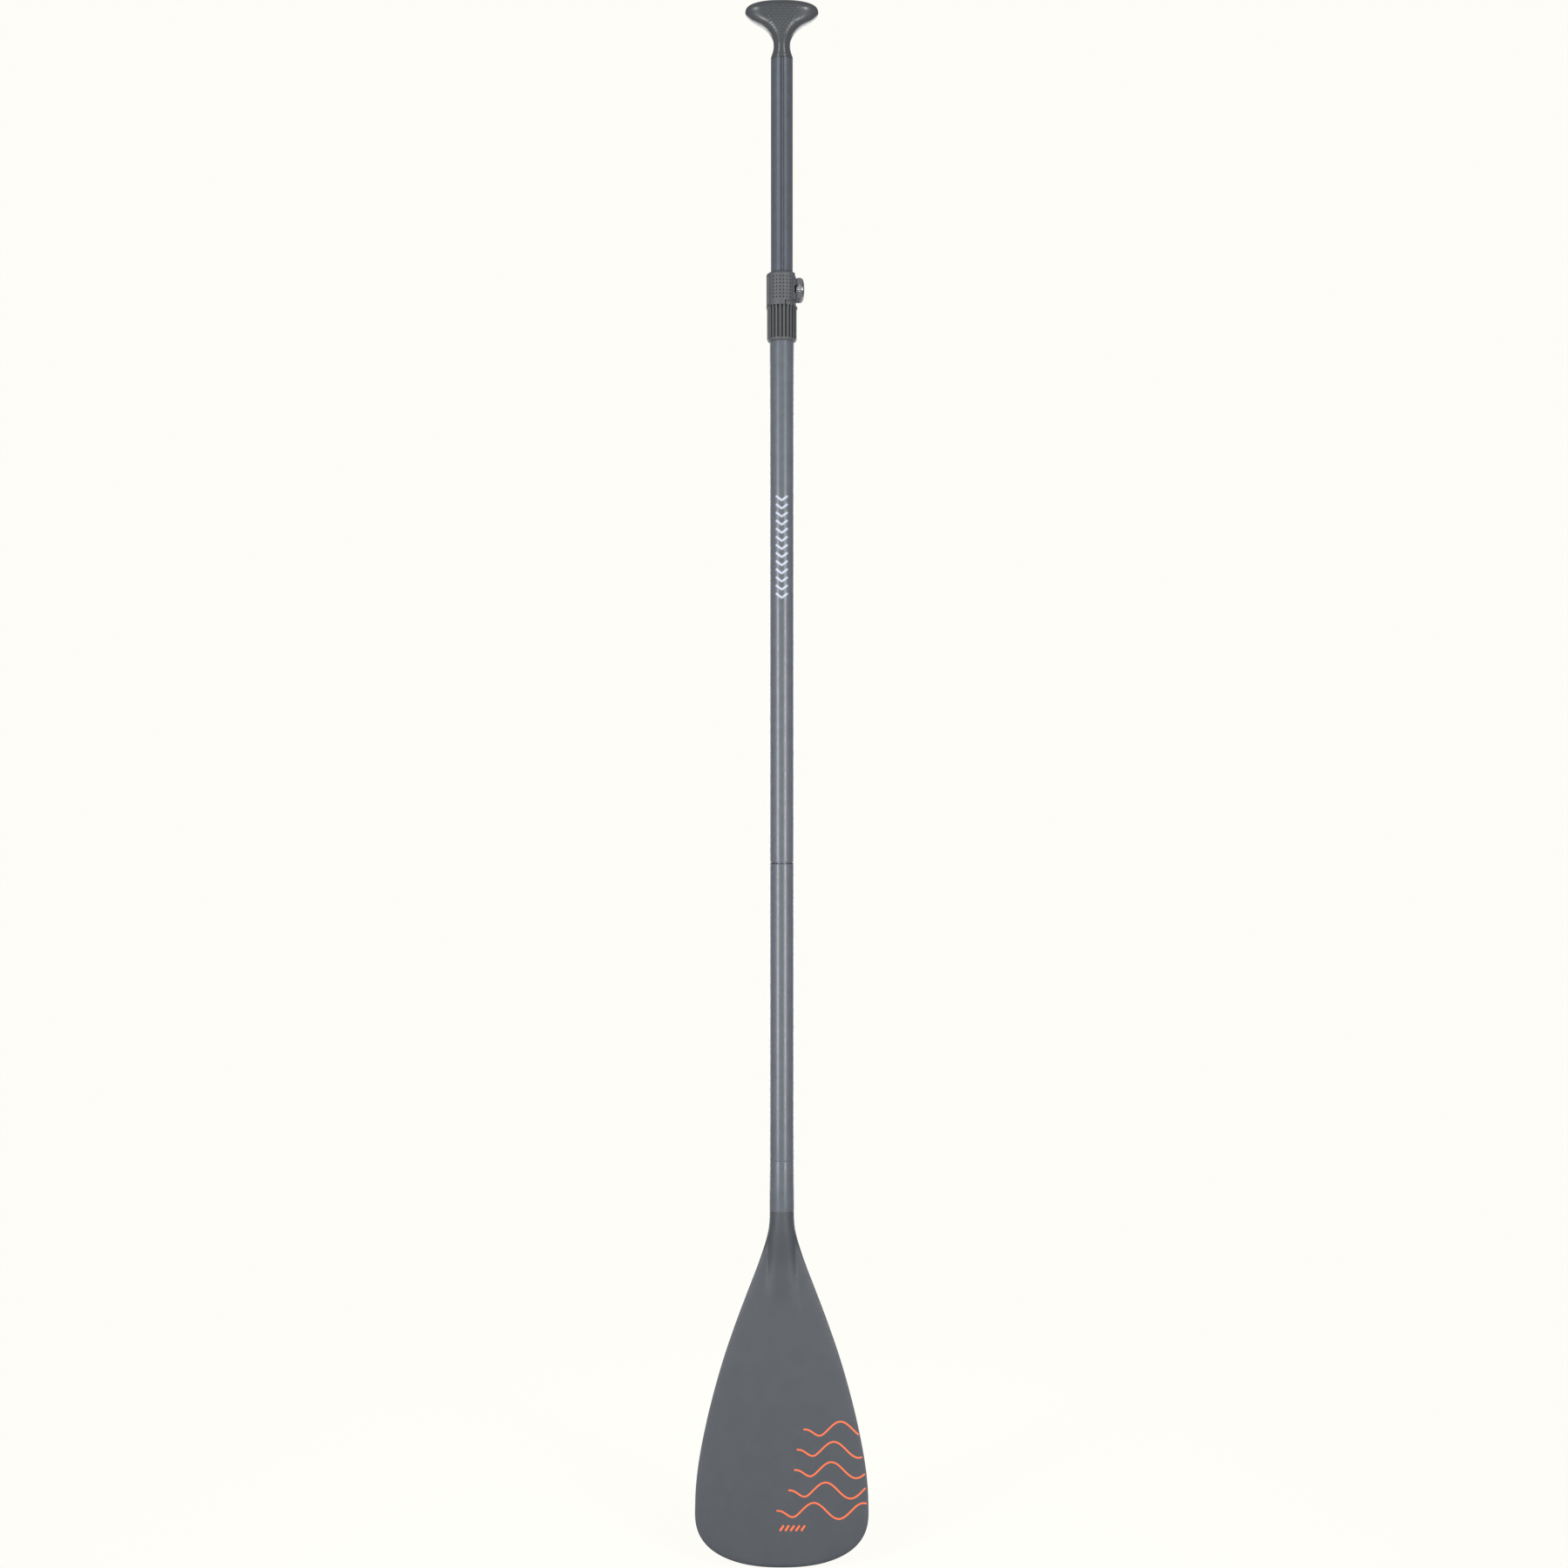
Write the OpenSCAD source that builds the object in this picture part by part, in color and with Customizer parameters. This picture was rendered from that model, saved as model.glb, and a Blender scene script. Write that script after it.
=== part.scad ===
// Single blade paddle in three sections: moulded blade on a lower shaft, mid shaft, and a
// telescoping upper shaft with a palm grip, locked by a cam clamp.
// Millimetres. The origin is on the shaft axis, in the middle of the lower shaft's free wall.
// +Z points to the grip. The blade's ribbed front face looks towards -Y. The clamp's cam is on +X.

/* [Node to draw] */
// Name of the one sub-part to draw, or all

/* [Shaft] */
// Outer diameter of the lower and mid shafts
shaft_d = 29; // [26:0.5:34]
// Wall thickness of the lower and mid shafts
shaft_wall = 1.4; // [1.1:0.1:1.7]
// Wall thickness of the upper shaft
upper_wall = 1.4; // [1.2:0.1:2]
// Visible length of the lower shaft, from blade neck to joint
lower_len = 412; // [250:1:600]
// Length of the mid shaft, from joint to its top inside the clamp
mid_len = 662; // [450:1:800]
// Length of the upper shaft
upper_len = 642; // [400:1:750]
// How far the upper shaft shows between clamp and grip
upper_show = 254; // [215:1:300]
// Height of the crimp ring above the blade neck
ring_up = 60; // [40:1:90]

/* [Take-down joint] */
// Length of the ferrule above the joint
ferrule_up = 100; // [60:1:110]
// Length of the ferrule below the joint
ferrule_down = 80; // [60:1:120]
// Height of the snap button above the joint
button_up = 30; // [22:1:40]
// Diameter of the snap button
button_d = 6.8; // [5:0.1:8]
// How far the snap button stands out of the shaft
button_proud = 2; // [1.5:0.1:3]

/* [Clamp] */
// Height of the clamp collar
collar_h = 81.6; // [76:0.2:95]
// Outer radius of the fluted sleeve beyond the shaft's
sleeve_t = 3.15; // [2.6:0.05:5]
// Number of flute places round the sleeve
flute_n = 24; // [16:1:28]
// Diameter of the tension bolt's shank
bolt_d = 4; // [3:0.5:4]
// Diameter of the tension bolt's head
bolt_head_d = 6.6; // [6:0.2:7.4]

/* [Grip] */
// Width of the palm grip
grip_w = 86.8; // [70:0.2:110]
// Height of the palm grip above the upper shaft
grip_h = 70; // [60:0.5:90]
// Thickness of the palm grip's crown, front to back
grip_t = 32; // [26:0.5:40]

/* [Blade] */
// Greatest width of the blade
blade_w = 202.8; // [160:0.2:240]
// Length of the blade along its face
blade_len = 410; // [340:1:480]
// Angle of the blade to the shaft, in degrees
blade_lean = 9; // [0:0.5:14]
// Half thickness of the blade at its middle line
blade_half_t = 2.8; // [2:0.1:5]

/* [Clearances] */
// Radial clearance of a tube that slides in another
slide_gap = 0.1; // [0.05:0.01:0.2]
// Radial clearance of the lever on its barrel
hinge_gap = 0.05; // [0.02:0.01:0.1]
// Gap between other faces that move past each other
run_gap = 0.3; // [0.2:0.05:0.4]

/* [Hidden] */
fine = 96;
small = 48;
eps = 0.01;
// Shafts
shaft_r = shaft_d / 2;
shaft_bore = shaft_r - shaft_wall;
upper_r = shaft_bore - slide_gap;
upper_bore = upper_r - upper_wall;
edge = 0.6;
joint_z = (lower_len - ring_up) / 2;
neck_z = joint_z - lower_len;
ring_z = neck_z + ring_up;
ring_w = 1.2;
ring_deep = 0.35;
washer_t = 0.8;
mid_z = joint_z + washer_t + 0.2;
mid_top = mid_z + mid_len;
seat_deep = 0.15;
// Ferrule
ferrule_r = shaft_bore - slide_gap;
ferrule_wall = 1.5;
ferrule_bore = ferrule_r - ferrule_wall;
ferrule_lo = joint_z - ferrule_down;
ferrule_hi = joint_z + ferrule_up;
cap_t = 2.5;
// Snap button and its spring
button_z = joint_z + button_up;
button_r = button_d / 2;
button_hole = button_r + run_gap;
button_dome = 0.8;
button_top = shaft_r + button_proud;
flange_t = 1.2;
flange_r = button_r + 0.9;
spring_t = 0.8;
spring_w = 8;
spring_leg = 45;
spring_back = ferrule_bore - 3;
spring_front = ferrule_bore - 0.8;
spring_mid = (spring_back - spring_front) / 2;
spring_r = (spring_back + spring_front) / 2;
spring_low = button_z - 25;
// Clamp collar
clamp_z = mid_top - 42.9;
clamp_top = clamp_z + collar_h;
sleeve_r = shaft_r + sleeve_t;
panel_r = sleeve_r + 0.65;
core_r = shaft_r + 1.4;
liner_r = shaft_r - 0.5;
liner_bore = upper_r + slide_gap;
sleeve_hi = clamp_z + 36.8;
lip_lo = clamp_z + 38.8;
lip_hi = clamp_z + 41.3;
flute_r = 1.25;
flute_lo = 3.2;
flute_deep = 0.6 * sleeve_t;
flute_at = sleeve_r - flute_deep + flute_r;
flute_step = 360 / flute_n;
flute_first = -44;
flute_count = floor(flute_n * 0.72);
slit_half = 1.5;
shelf_hi = lip_hi + 5.2;
shelf_from = -75;
shelf_sweep = 37;
// Cam, bolt and ears
cam_z = clamp_z + 60.3;
cam_half = 12;
barrel_half = 9.6;
cam_r = 4.9;
barrel_r = 2.9;
bolt_r = bolt_d / 2;
bolt_gap = 0.15;
head_r = bolt_head_d / 2;
head_h = 3.5;
pad_t = 0.6;
ear_front = 0.49 * core_r;
ear_back = 9;
cam_x = panel_r + 3.3;
cam_y = -(ear_front + pad_t + run_gap + cam_r);
ear_x = cam_x + cam_r + 0.2;
nose_r = 31;
nose_edge = 4.5;
nut_af = 7;
nut_h = 3.2;
nut_y = ear_back - nut_h;
// Lever
lever_in = core_r + run_gap;
web_y = cam_y + cam_r - 0.15;
web_x = sqrt(lever_in * lever_in - web_y * web_y) + 0.1;
lever_out = panel_r + 0.1;
lever_lo = lip_hi + run_gap;
lever_step_x = 3.8;
lever_hi = clamp_top - 0.8;
lever_from = -154;
lever_to = -35;
lever_step_w = lever_out * cos(lever_to) + 0.4 - lever_step_x;
panel_from = 22;
panel_sweep = 180;
tip_sweep = 8;
tip_out = 1;
slot_r = norm([head_r, cam_r]) + 0.8;
slot_half = head_r + 1.1;
shank_half = bolt_r + 0.35;
dot_rows = 7;
dot_cols = 6;
dot_pitch = 4.1;
dot_up = 2.3;
dot_d = 1.6;
dot_deep = 1;
// Key groove in the upper shaft
key_turn = 4;
key_w = 3.8;
key_deep = 1.1;
key_rib_w = 6.4;
key_rib_in = upper_r - key_deep - 1.3;
key_floor = upper_r - key_deep;
// Upper shaft
upper_z = clamp_top + upper_show - upper_len;
upper_top = upper_z + upper_len;
plug_in = 20;
plug_stem = 9;
glide_h = 12;
rivet_r = 1.6;
rivet_down = 15;
rivet_head_r = 3;
rivet_head_h = 1;
grip_spigot = 45;
// Blade
blade_spigot = 70;
foam_gap = 2;
foam_len = 80;
bend_len = 150;
spine_end = 0.34;

// Share of blade length, share of greatest half width, from the neck to the widest place
BLADE_EDGE = [
    [0, 0.141],
    [0.03, 0.145],
    [0.0585, 0.159],
    [0.0976, 0.199],
    [0.158, 0.282],
    [0.237, 0.407],
    [0.317, 0.531],
    [0.415, 0.670],
    [0.512, 0.786],
    [0.61, 0.884],
    [0.707, 0.959],
    [0.78, 0.992],
    [0.842, 1],
];
// Share of grip height from the top, share of greatest half width
GRIP_SIDE = [
    [0.215, 1],
    [0.255, 0.971],
    [0.281, 0.939],
    [0.311, 0.892],
    [0.341, 0.833],
    [0.37, 0.762],
    [0.4, 0.673],
    [0.429, 0.583],
    [0.459, 0.506],
    [0.489, 0.446],
    [0.518, 0.396],
    [0.548, 0.356],
    [0.578, 0.318],
    [0.637, 0.267],
    [0.696, 0.233],
    [0.755, 0.224],
    [0.814, 0.227],
    [0.874, 0.248],
    [0.933, 0.278],
    [1, 0.3],
];
// Share of grip height from the top, share of half the crown's thickness
GRIP_DEPTH = [
    [0.22, 1],
    [0.36, 0.975],
    [0.5, 0.87],
    [0.64, 0.765],
    [0.76, 0.725],
    [0.87, 0.76],
    [1, 0.8125],
];

// Smooth curve through table rows [at, value]
function slope(t, i) =
    let (a = max(i - 1, 0), b = min(i + 1, len(t) - 1))
    (t[b][1] - t[a][1]) / (t[b][0] - t[a][0]);
function piece(t, i, u, w) =
    t[i][1] * (2 * pow(u, 3) - 3 * u * u + 1) + slope(t, i) * w * (pow(u, 3) - 2 * u * u + u)
    + t[i + 1][1] * (3 * u * u - 2 * pow(u, 3)) + slope(t, i + 1) * w * (pow(u, 3) - u * u);
function row_of(t, x, i = 0) = (i + 2 >= len(t) || x < t[i + 1][0]) ? i : row_of(t, x, i + 1);
function through(t, x) =
    let (i = row_of(t, x), w = t[i + 1][0] - t[i][0])
    piece(t, i, (x - t[i][0]) / w, w);
function ease(u) = let (v = min(max(u, 0), 1)) v * v * (3 - 2 * v);

// Closed surface through rings of equal length, capped at both ends
module rings(sections) {
    n = len(sections[0]);
    m = len(sections);
    points = [for (s = sections) each s];
    sides = [
        for (i = [0 : m - 2])
            for (k = [0 : n - 1])
                for (face = [
                    [i * n + k, (i + 1) * n + k, (i + 1) * n + (k + 1) % n],
                    [i * n + k, (i + 1) * n + (k + 1) % n, i * n + (k + 1) % n]
                ])
                    face
    ];
    first = [for (k = [0 : n - 1]) k];
    last = [for (k = [n - 1 : -1 : 0]) (m - 1) * n + k];
    polyhedron(points, concat(sides, [first], [last]));
}

// Upright tube or bar from z0 to z1
module bar(r, z0, z1) {
    translate([0, 0, z0])
        cylinder(r = r, h = z1 - z0, $fn = fine);
}

// Bar along Y from y0 to y1
module cross_bar(r, x, z, y0, y1, sides = small) {
    translate([x, y0, z])
        rotate([-90, 0, 0])
            cylinder(r = r, h = y1 - y0, $fn = sides);
}

// Revolved outline given as [radius, height] corners
module turned(corners) {
    rotate_extrude($fn = fine)
        polygon(corners);
}

// Blade sections
function blade_half(s) =
    let (u = s / blade_len, v = min(max((u - 0.842) / 0.158, 0), 1))
    blade_w / 2 * (u < 0.842 ? through(BLADE_EDGE, u) : pow(1 - pow(v, 2.55), 1 / 2.25));
function lean_y(s) =
    let (u = s / bend_len)
    -sin(blade_lean) * (u < 1 ? bend_len * (pow(u, 3) - pow(u, 4) / 2) : s - bend_len / 2);
function lean_z(s) =
    let (u = s / bend_len, f = 9 / 5 * pow(u, 5) - 2 * pow(u, 6) + 4 / 7 * pow(u, 7))
    (1 - cos(blade_lean)) * (u < 1 ? bend_len * f : bend_len * 0.3714 + s - bend_len) - s;
function spine_half(s) = shaft_r * (1 + 0.6 * ease(s / (spine_end * blade_len)));
function spine_rise(s) =
    let (u = min(s / (spine_end * blade_len), 1))
    shaft_r * pow(1 - u, 0.8) * (1 - 0.25 * u);
function plate_half(x, w) =
    (blade_half_t - 1.3 * pow(x / w, 2)) * sqrt(max(1 - pow(x / w, 10), 0));
function blade_tip(s) = sqrt(max(1 - pow(max((s - blade_len + 5) / 5, 0), 2), 0.002));
function blade_x(p, s, w) =
    let (a = min(spine_half(s), w * 0.92))
    p < 0.5 ? a * p * 2 : a + (w - a) * sin((p - 0.5) * 180);
function blade_h(x, s, w, share) =
    let (a = min(spine_half(s), w * 0.92), q = min(x / a, 1))
    max(plate_half(x, w) * blade_tip(s), share * spine_rise(s) * sqrt(max(1 - pow(q, 3), 0)));
function blade_point(p, s, side) =
    let (
        w = blade_half(s),
        k = ease(s / (0.16 * blade_len)),
        x = (1 - k) * w * sin(90 * p) + k * blade_x(p, s, w),
        share = side < 0 ? 1 : 1 - 0.3 * ease(s / (0.3 * blade_len)),
        h = (1 - k) * shaft_r * cos(90 * p) + k * blade_h(x, s, w, share),
        camber = 4 * pow(x / (blade_w / 2), 2) * ease(s / (0.5 * blade_len)),
        tilt = blade_lean * ease(s / bend_len),
        n = -side * h + camber
    )
    [x, lean_y(s) - n * cos(tilt), neck_z + lean_z(s) + n * sin(tilt)];
function flip(p) = [-p[0], p[1], p[2]];
function blade_ring(s, n = 14) = concat(
    [for (i = [0 : n - 1]) flip(blade_point(i / n, s, -1))],
    [for (i = [n : -1 : 1]) flip(blade_point(i / n, s, 1))],
    [for (i = [0 : n - 1]) blade_point(i / n, s, 1)],
    [for (i = [n : -1 : 1]) blade_point(i / n, s, -1)]
);
blade_steps = concat(
    [for (i = [0 : 29]) i / 30 * 0.842],
    [for (i = [0 : 18]) 0.842 + 0.158 * min(sin(i * 5), 0.9992)]
);

module blade() {
    color([0.33, 0.34, 0.37]) {
        rings([for (u = blade_steps) blade_ring(u * blade_len)]);
        bar(shaft_bore, neck_z - 12, neck_z + blade_spigot);
    }
}

module lower_tube() {
    color([0.36, 0.37, 0.4])
        turned([
            [shaft_bore, neck_z],
            [shaft_r, neck_z],
            [shaft_r, ring_z - ring_w / 2],
            [shaft_r - ring_deep, ring_z],
            [shaft_r, ring_z + ring_w / 2],
            [shaft_r, joint_z - edge],
            [shaft_r - edge, joint_z],
            [shaft_bore, joint_z]
        ]);
}

module foam_plug() {
    color([0.82, 0.82, 0.8])
        bar(shaft_bore, neck_z + blade_spigot + foam_gap, neck_z + blade_spigot + foam_gap + foam_len);
}

module ferrule() {
    color([0.7, 0.71, 0.73])
        difference() {
            turned([
                [ferrule_bore, ferrule_lo],
                [shaft_bore, ferrule_lo],
                [shaft_bore, joint_z],
                [ferrule_r, joint_z],
                [ferrule_r, ferrule_hi - 1],
                [ferrule_r - 0.6, ferrule_hi],
                [ferrule_bore, ferrule_hi]
            ]);
            cross_bar(button_hole, 0, button_z, 0, shaft_r);
        }
}

module ferrule_cap() {
    color([0.12, 0.12, 0.13]) {
        bar(ferrule_bore, ferrule_hi - 12, ferrule_hi);
        bar(ferrule_r - 0.6, ferrule_hi, ferrule_hi + cap_t);
    }
}

module button_spring() {
    color([0.75, 0.76, 0.78])
        translate([-spring_w / 2, 0, spring_low])
            rotate([90, 0, 90])
                linear_extrude(spring_w) {
                    translate([spring_back - spring_t, 0])
                        square([spring_t, spring_leg]);
                    translate([-spring_front, 0])
                        square([spring_t, spring_leg]);
                    difference() {
                        translate([spring_mid, 0])
                            circle(r = spring_r, $fn = fine);
                        translate([spring_mid, 0])
                            circle(r = spring_r - spring_t, $fn = fine);
                        translate([-shaft_r, 0])
                            square([shaft_d, shaft_r]);
                    }
                }
}

module joint_washer() {
    color([0.06, 0.06, 0.06])
        difference() {
            bar(shaft_r - 0.7, joint_z, joint_z + washer_t);
            bar(ferrule_r, joint_z - 1, joint_z + washer_t + 1);
        }
}

module snap_button() {
    dome_r = (button_r * button_r + button_dome * button_dome) / (2 * button_dome);
    color([0.78, 0.79, 0.8]) {
        cross_bar(flange_r, 0, button_z, spring_back + 0.1, spring_back + 0.1 + flange_t);
        intersection() {
            cross_bar(button_r, 0, button_z, spring_back + 0.2, button_top + 1);
            translate([0, button_top - dome_r, button_z])
                sphere(r = dome_r, $fn = fine);
        }
    }
}

module mid_tube() {
    color([0.36, 0.37, 0.4])
        difference() {
            turned([
                [shaft_bore, mid_z],
                [shaft_r - 0.9, mid_z],
                [shaft_r - 0.45, mid_z + 0.6],
                [shaft_r - 0.12, mid_z + 1.6],
                [shaft_r, mid_z + 3],
                [shaft_r, clamp_z + 1],
                [shaft_r - seat_deep, clamp_z + 1 + seat_deep],
                [shaft_r - seat_deep, mid_top],
                [shaft_bore, mid_top]
            ]);
            cross_bar(button_hole, 0, button_z, 0, shaft_d);
        }
}

// Outline of the cam end seen from the front, as a block from y0 to y1
module nose(y0, y1, half) {
    translate([0, y1, cam_z])
        rotate([90, 0, 0])
            linear_extrude(y1 - y0)
                offset(r = nose_edge, $fn = fine)
                    offset(delta = -nose_edge)
                        intersection() {
                            translate([0, -half])
                                square([ear_x + 1, 2 * half]);
                            translate([ear_x - nose_r, 0])
                                circle(r = nose_r, $fn = 2 * fine);
                        }
}

module clamp_collar() {
    color([0.3, 0.31, 0.33])
        difference() {
            union() {
                turned([
                    [shaft_r - 1, clamp_z],
                    [sleeve_r - 1.7, clamp_z],
                    [sleeve_r - 0.7, clamp_z + 0.7],
                    [sleeve_r - 0.15, clamp_z + 2],
                    [sleeve_r, clamp_z + 3.6],
                    [sleeve_r, sleeve_hi],
                    [panel_r, lip_lo - 0.6],
                    [panel_r + 0.3, lip_lo + 0.4],
                    [panel_r + 0.3, lip_hi - 0.6],
                    [panel_r, lip_hi],
                    [core_r, lip_hi],
                    [core_r, clamp_top - 0.8],
                    [core_r - 0.8, clamp_top],
                    [shaft_r - 1, clamp_top]
                ]);
                rotate([0, 0, shelf_from])
                    rotate_extrude(angle = shelf_sweep, $fn = fine)
                        translate([core_r - 1, lip_lo])
                            square([panel_r - core_r + 1, shelf_hi - lip_lo]);
                rotate([0, 0, panel_from])
                    rotate_extrude(angle = panel_sweep, $fn = fine)
                        polygon([
                            [core_r - 1, lip_lo],
                            [panel_r, lip_lo],
                            [panel_r, lever_hi - 2.6],
                            [panel_r - 0.5, lever_hi - 1],
                            [panel_r - 1.6, lever_hi],
                            [core_r - 1, lever_hi]
                        ]);
                difference() {
                    nose(-ear_front, ear_back, cam_half + 0.3);
                    translate([-1, -ear_front - 1, cam_z - 20])
                        cube([core_r - 2, ear_front + ear_back + 2, 40]);
                }
            }
            bar(shaft_r - seat_deep, clamp_z - 1, mid_top);
            turned([
                [0, clamp_z - 1],
                [shaft_r, clamp_z - 1],
                [shaft_r, clamp_z + 1],
                [shaft_r - seat_deep, clamp_z + 1 + seat_deep],
                [0, clamp_z + 1 + seat_deep]
            ]);
            bar(liner_r, mid_top - 1, clamp_top - 2.6);
            bar(liner_bore + run_gap, clamp_top - 4, clamp_top + 1);
            translate([liner_bore - 2, -slit_half, lip_hi + 0.4])
                cube([ear_x, 2 * slit_half, collar_h]);
            cross_bar(bolt_r + bolt_gap, cam_x, cam_z, -ear_front - 1, ear_back + 1);
            translate([cam_x, nut_y, cam_z])
                rotate([-90, 0, 0])
                    cylinder(r = nut_af / sqrt(3), h = nut_h + 1, $fn = 6);
            for (k = [0 : flute_count - 1])
                rotate([0, 0, flute_first + k * flute_step - 90])
                    translate([flute_at, 0, clamp_z + flute_lo]) {
                        cylinder(r = flute_r, h = lip_hi - clamp_z - flute_lo, $fn = small);
                        translate([0, -flute_r, 0])
                            cube([flute_deep + 1, 2 * flute_r, lip_hi - clamp_z - flute_lo]);
                    }
        }
}

module clamp_liner() {
    color([0.1, 0.1, 0.11])
        difference() {
            union() {
                difference() {
                    bar(liner_r, mid_top, clamp_top - 2.6);
                    bar(liner_bore, mid_top - 1, clamp_top);
                }
                rotate([0, 0, key_turn])
                    translate([-key_w / 2 + run_gap, -liner_r + 0.4, mid_top])
                        cube([key_w - 2 * run_gap, liner_r - 0.4 - key_floor - run_gap, collar_h / 2 - 6]);
            }
            translate([0, -slit_half, mid_top - 1])
                cube([shaft_r, 2 * slit_half, collar_h]);
        }
}

module cam_barrel() {
    color([0.72, 0.73, 0.75])
        difference() {
            translate([cam_x, cam_y, cam_z - barrel_half])
                cylinder(r = barrel_r, h = 2 * barrel_half, $fn = small);
            cross_bar(bolt_r, cam_x, cam_z, cam_y - 5, cam_y + 5);
            cross_bar(head_r + 0.2, cam_x, cam_z, cam_y - 6, cam_y - cam_r + head_h);
        }
}

module tension_bolt() {
    color([0.82, 0.83, 0.84])
        difference() {
            union() {
                cross_bar(head_r, cam_x, cam_z, cam_y - cam_r, cam_y - cam_r + head_h);
                cross_bar(bolt_r, cam_x, cam_z, cam_y - cam_r + 1, ear_back - 0.3);
            }
            cross_bar(1.75, cam_x, cam_z, cam_y - cam_r - 1, cam_y - cam_r + 2, 6);
        }
}

module tension_nut() {
    color([0.72, 0.73, 0.75])
        difference() {
            translate([cam_x, nut_y, cam_z])
                rotate([-90, 0, 0])
                    cylinder(r = nut_af / sqrt(3) - eps, h = nut_h - 0.2, $fn = 6);
            cross_bar(bolt_r, cam_x, cam_z, nut_y - 1, ear_back + 1);
        }
}

module cam_pad() {
    color([0.72, 0.73, 0.75])
        difference() {
            translate([cam_x - 4.4, -ear_front - pad_t, cam_z - 9])
                cube([8, pad_t, 18]);
            cross_bar(bolt_r + bolt_gap, cam_x, cam_z, -ear_front - 2, -ear_front + 1);
        }
}

module clamp_lever() {
    color([0.31, 0.32, 0.34])
        difference() {
            union() {
                rotate([0, 0, lever_from])
                    rotate_extrude(angle = lever_to - lever_from, $fn = fine)
                        polygon([
                            [lever_in, lever_lo],
                            [lever_out, lever_lo],
                            [lever_out, lever_hi - 2.6],
                            [lever_out - 0.5, lever_hi - 1],
                            [lever_out - 1.6, lever_hi],
                            [lever_in, lever_hi]
                        ]);
                rotate([0, 0, lever_from])
                    rotate_extrude(angle = tip_sweep, $fn = fine)
                        translate([lever_in + 0.5, lever_lo + 2])
                            square([lever_out - lever_in - 0.5 + tip_out, lever_hi - lever_lo - 6]);
                translate([web_x, web_y - 4, cam_z - cam_half + 0.6])
                    cube([cam_x - 1.5 - web_x, 4, 2 * cam_half - 1.2]);
                intersection() {
                    translate([cam_x, cam_y, cam_z - cam_half])
                        cylinder(r = cam_r, h = 2 * cam_half, $fn = small);
                    nose(cam_y - cam_r - 1, cam_y + cam_r + 1, cam_half);
                }
            }
            translate([cam_x, cam_y, cam_z - cam_half - 1])
                cylinder(r = barrel_r + hinge_gap, h = 2 * cam_half + 2, $fn = small);
            translate([cam_x, cam_y, cam_z - shank_half])
                cylinder(r = slot_r, h = 2 * shank_half, $fn = small);
            cross_bar(slot_half, cam_x, cam_z, cam_y - slot_r - 1, cam_y + 0.2);
            translate([cam_x - slot_r, cam_y - slot_r - 1, cam_z - slot_half])
                cube([slot_r + 0.1, 2 * slot_r + 2, 2 * slot_half]);
            translate([lever_step_x, -lever_out - 1, lever_lo - 1])
                cube([lever_step_w, lever_out + 1, shelf_hi + run_gap - lever_lo + 1]);
            for (c = [0 : dot_cols - 1])
                for (r = [0 : dot_rows - 1])
                    let (x = (c - (dot_cols - 1) / 2) * dot_pitch)
                        cross_bar(dot_d / 2, x, cam_z + dot_up + (r - (dot_rows - 1) / 2) * dot_pitch, -shaft_d,
                            dot_deep - sqrt(lever_out * lever_out - x * x), 24);
        }
}

// Notch that lets a plug pass the key groove's inner rib
module rib_notch(z0, z1) {
    rotate([0, 0, key_turn])
        translate([-key_rib_w / 2 - 0.1, -upper_r - 1, z0])
            cube([key_rib_w + 0.2, upper_r + 1 - key_rib_in + 0.1, z1 - z0]);
}

module upper_tube() {
    color([0.31, 0.32, 0.35])
        difference() {
            translate([0, 0, upper_z])
                linear_extrude(upper_len)
                    rotate(key_turn)
                        difference() {
                            circle(r = upper_r, $fn = fine);
                            difference() {
                                circle(r = upper_bore, $fn = fine);
                                translate([-key_rib_w / 2, -upper_r])
                                    square([key_rib_w, upper_r - key_rib_in]);
                            }
                            translate([-key_w / 2, -upper_r - 1])
                                square([key_w, key_deep + 1]);
                        }
            cross_bar(rivet_r, 0, upper_top - rivet_down, 0, shaft_d);
        }
}

module end_plug() {
    color([0.1, 0.1, 0.11]) {
        difference() {
            bar(upper_bore, upper_z, upper_z + plug_in);
            rib_notch(upper_z - 1, upper_z + plug_in + 1);
        }
        bar(plug_stem, upper_z - glide_h - 1, upper_z + 1);
        bar(upper_r - 0.3, upper_z - glide_h - 3, upper_z - glide_h);
    }
}

module glide_ring() {
    color([0.85, 0.85, 0.83])
        difference() {
            bar(upper_r + slide_gap / 2, upper_z - glide_h, upper_z);
            bar(plug_stem, upper_z - glide_h - 1, upper_z + 1);
        }
}

// Palm grip sections
function grip_x(u) =
    let (v = max(1 - u / 0.215, 0))
    grip_w / 2 * (u < 0.215 ? pow(1 - pow(v, 2.9), 0.47) : through(GRIP_SIDE, u));
function grip_y(u) =
    let (v = max(1 - u / 0.22, 0))
    grip_t / 2 * (u < 0.22 ? pow(1 - pow(v, 2.9), 0.47) : through(GRIP_DEPTH, u));
function power(c, e) = sign(c) * pow(abs(c), e);
function grip_ring(u, n = 56) =
    let (e = 1 - 0.12 * (1 - ease((u - 0.5) / 0.5)), k = ease((u - 0.92) / 0.08))
    [for (i = [0 : n - 1])
        let (a = -360 * i / n)
            [
                ((1 - k) * grip_x(u) + k * upper_r) * power(cos(a), e),
                ((1 - k) * grip_y(u) + k * upper_r) * power(sin(a), e),
                upper_top + grip_h * (1 - u)
            ]
    ];
grip_steps = concat(
    [for (i = [1 : 14]) 0.22 * (1 - cos(i * 90 / 14))],
    [for (i = [1 : 34]) 0.22 + 0.78 * i / 34]
);

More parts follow.
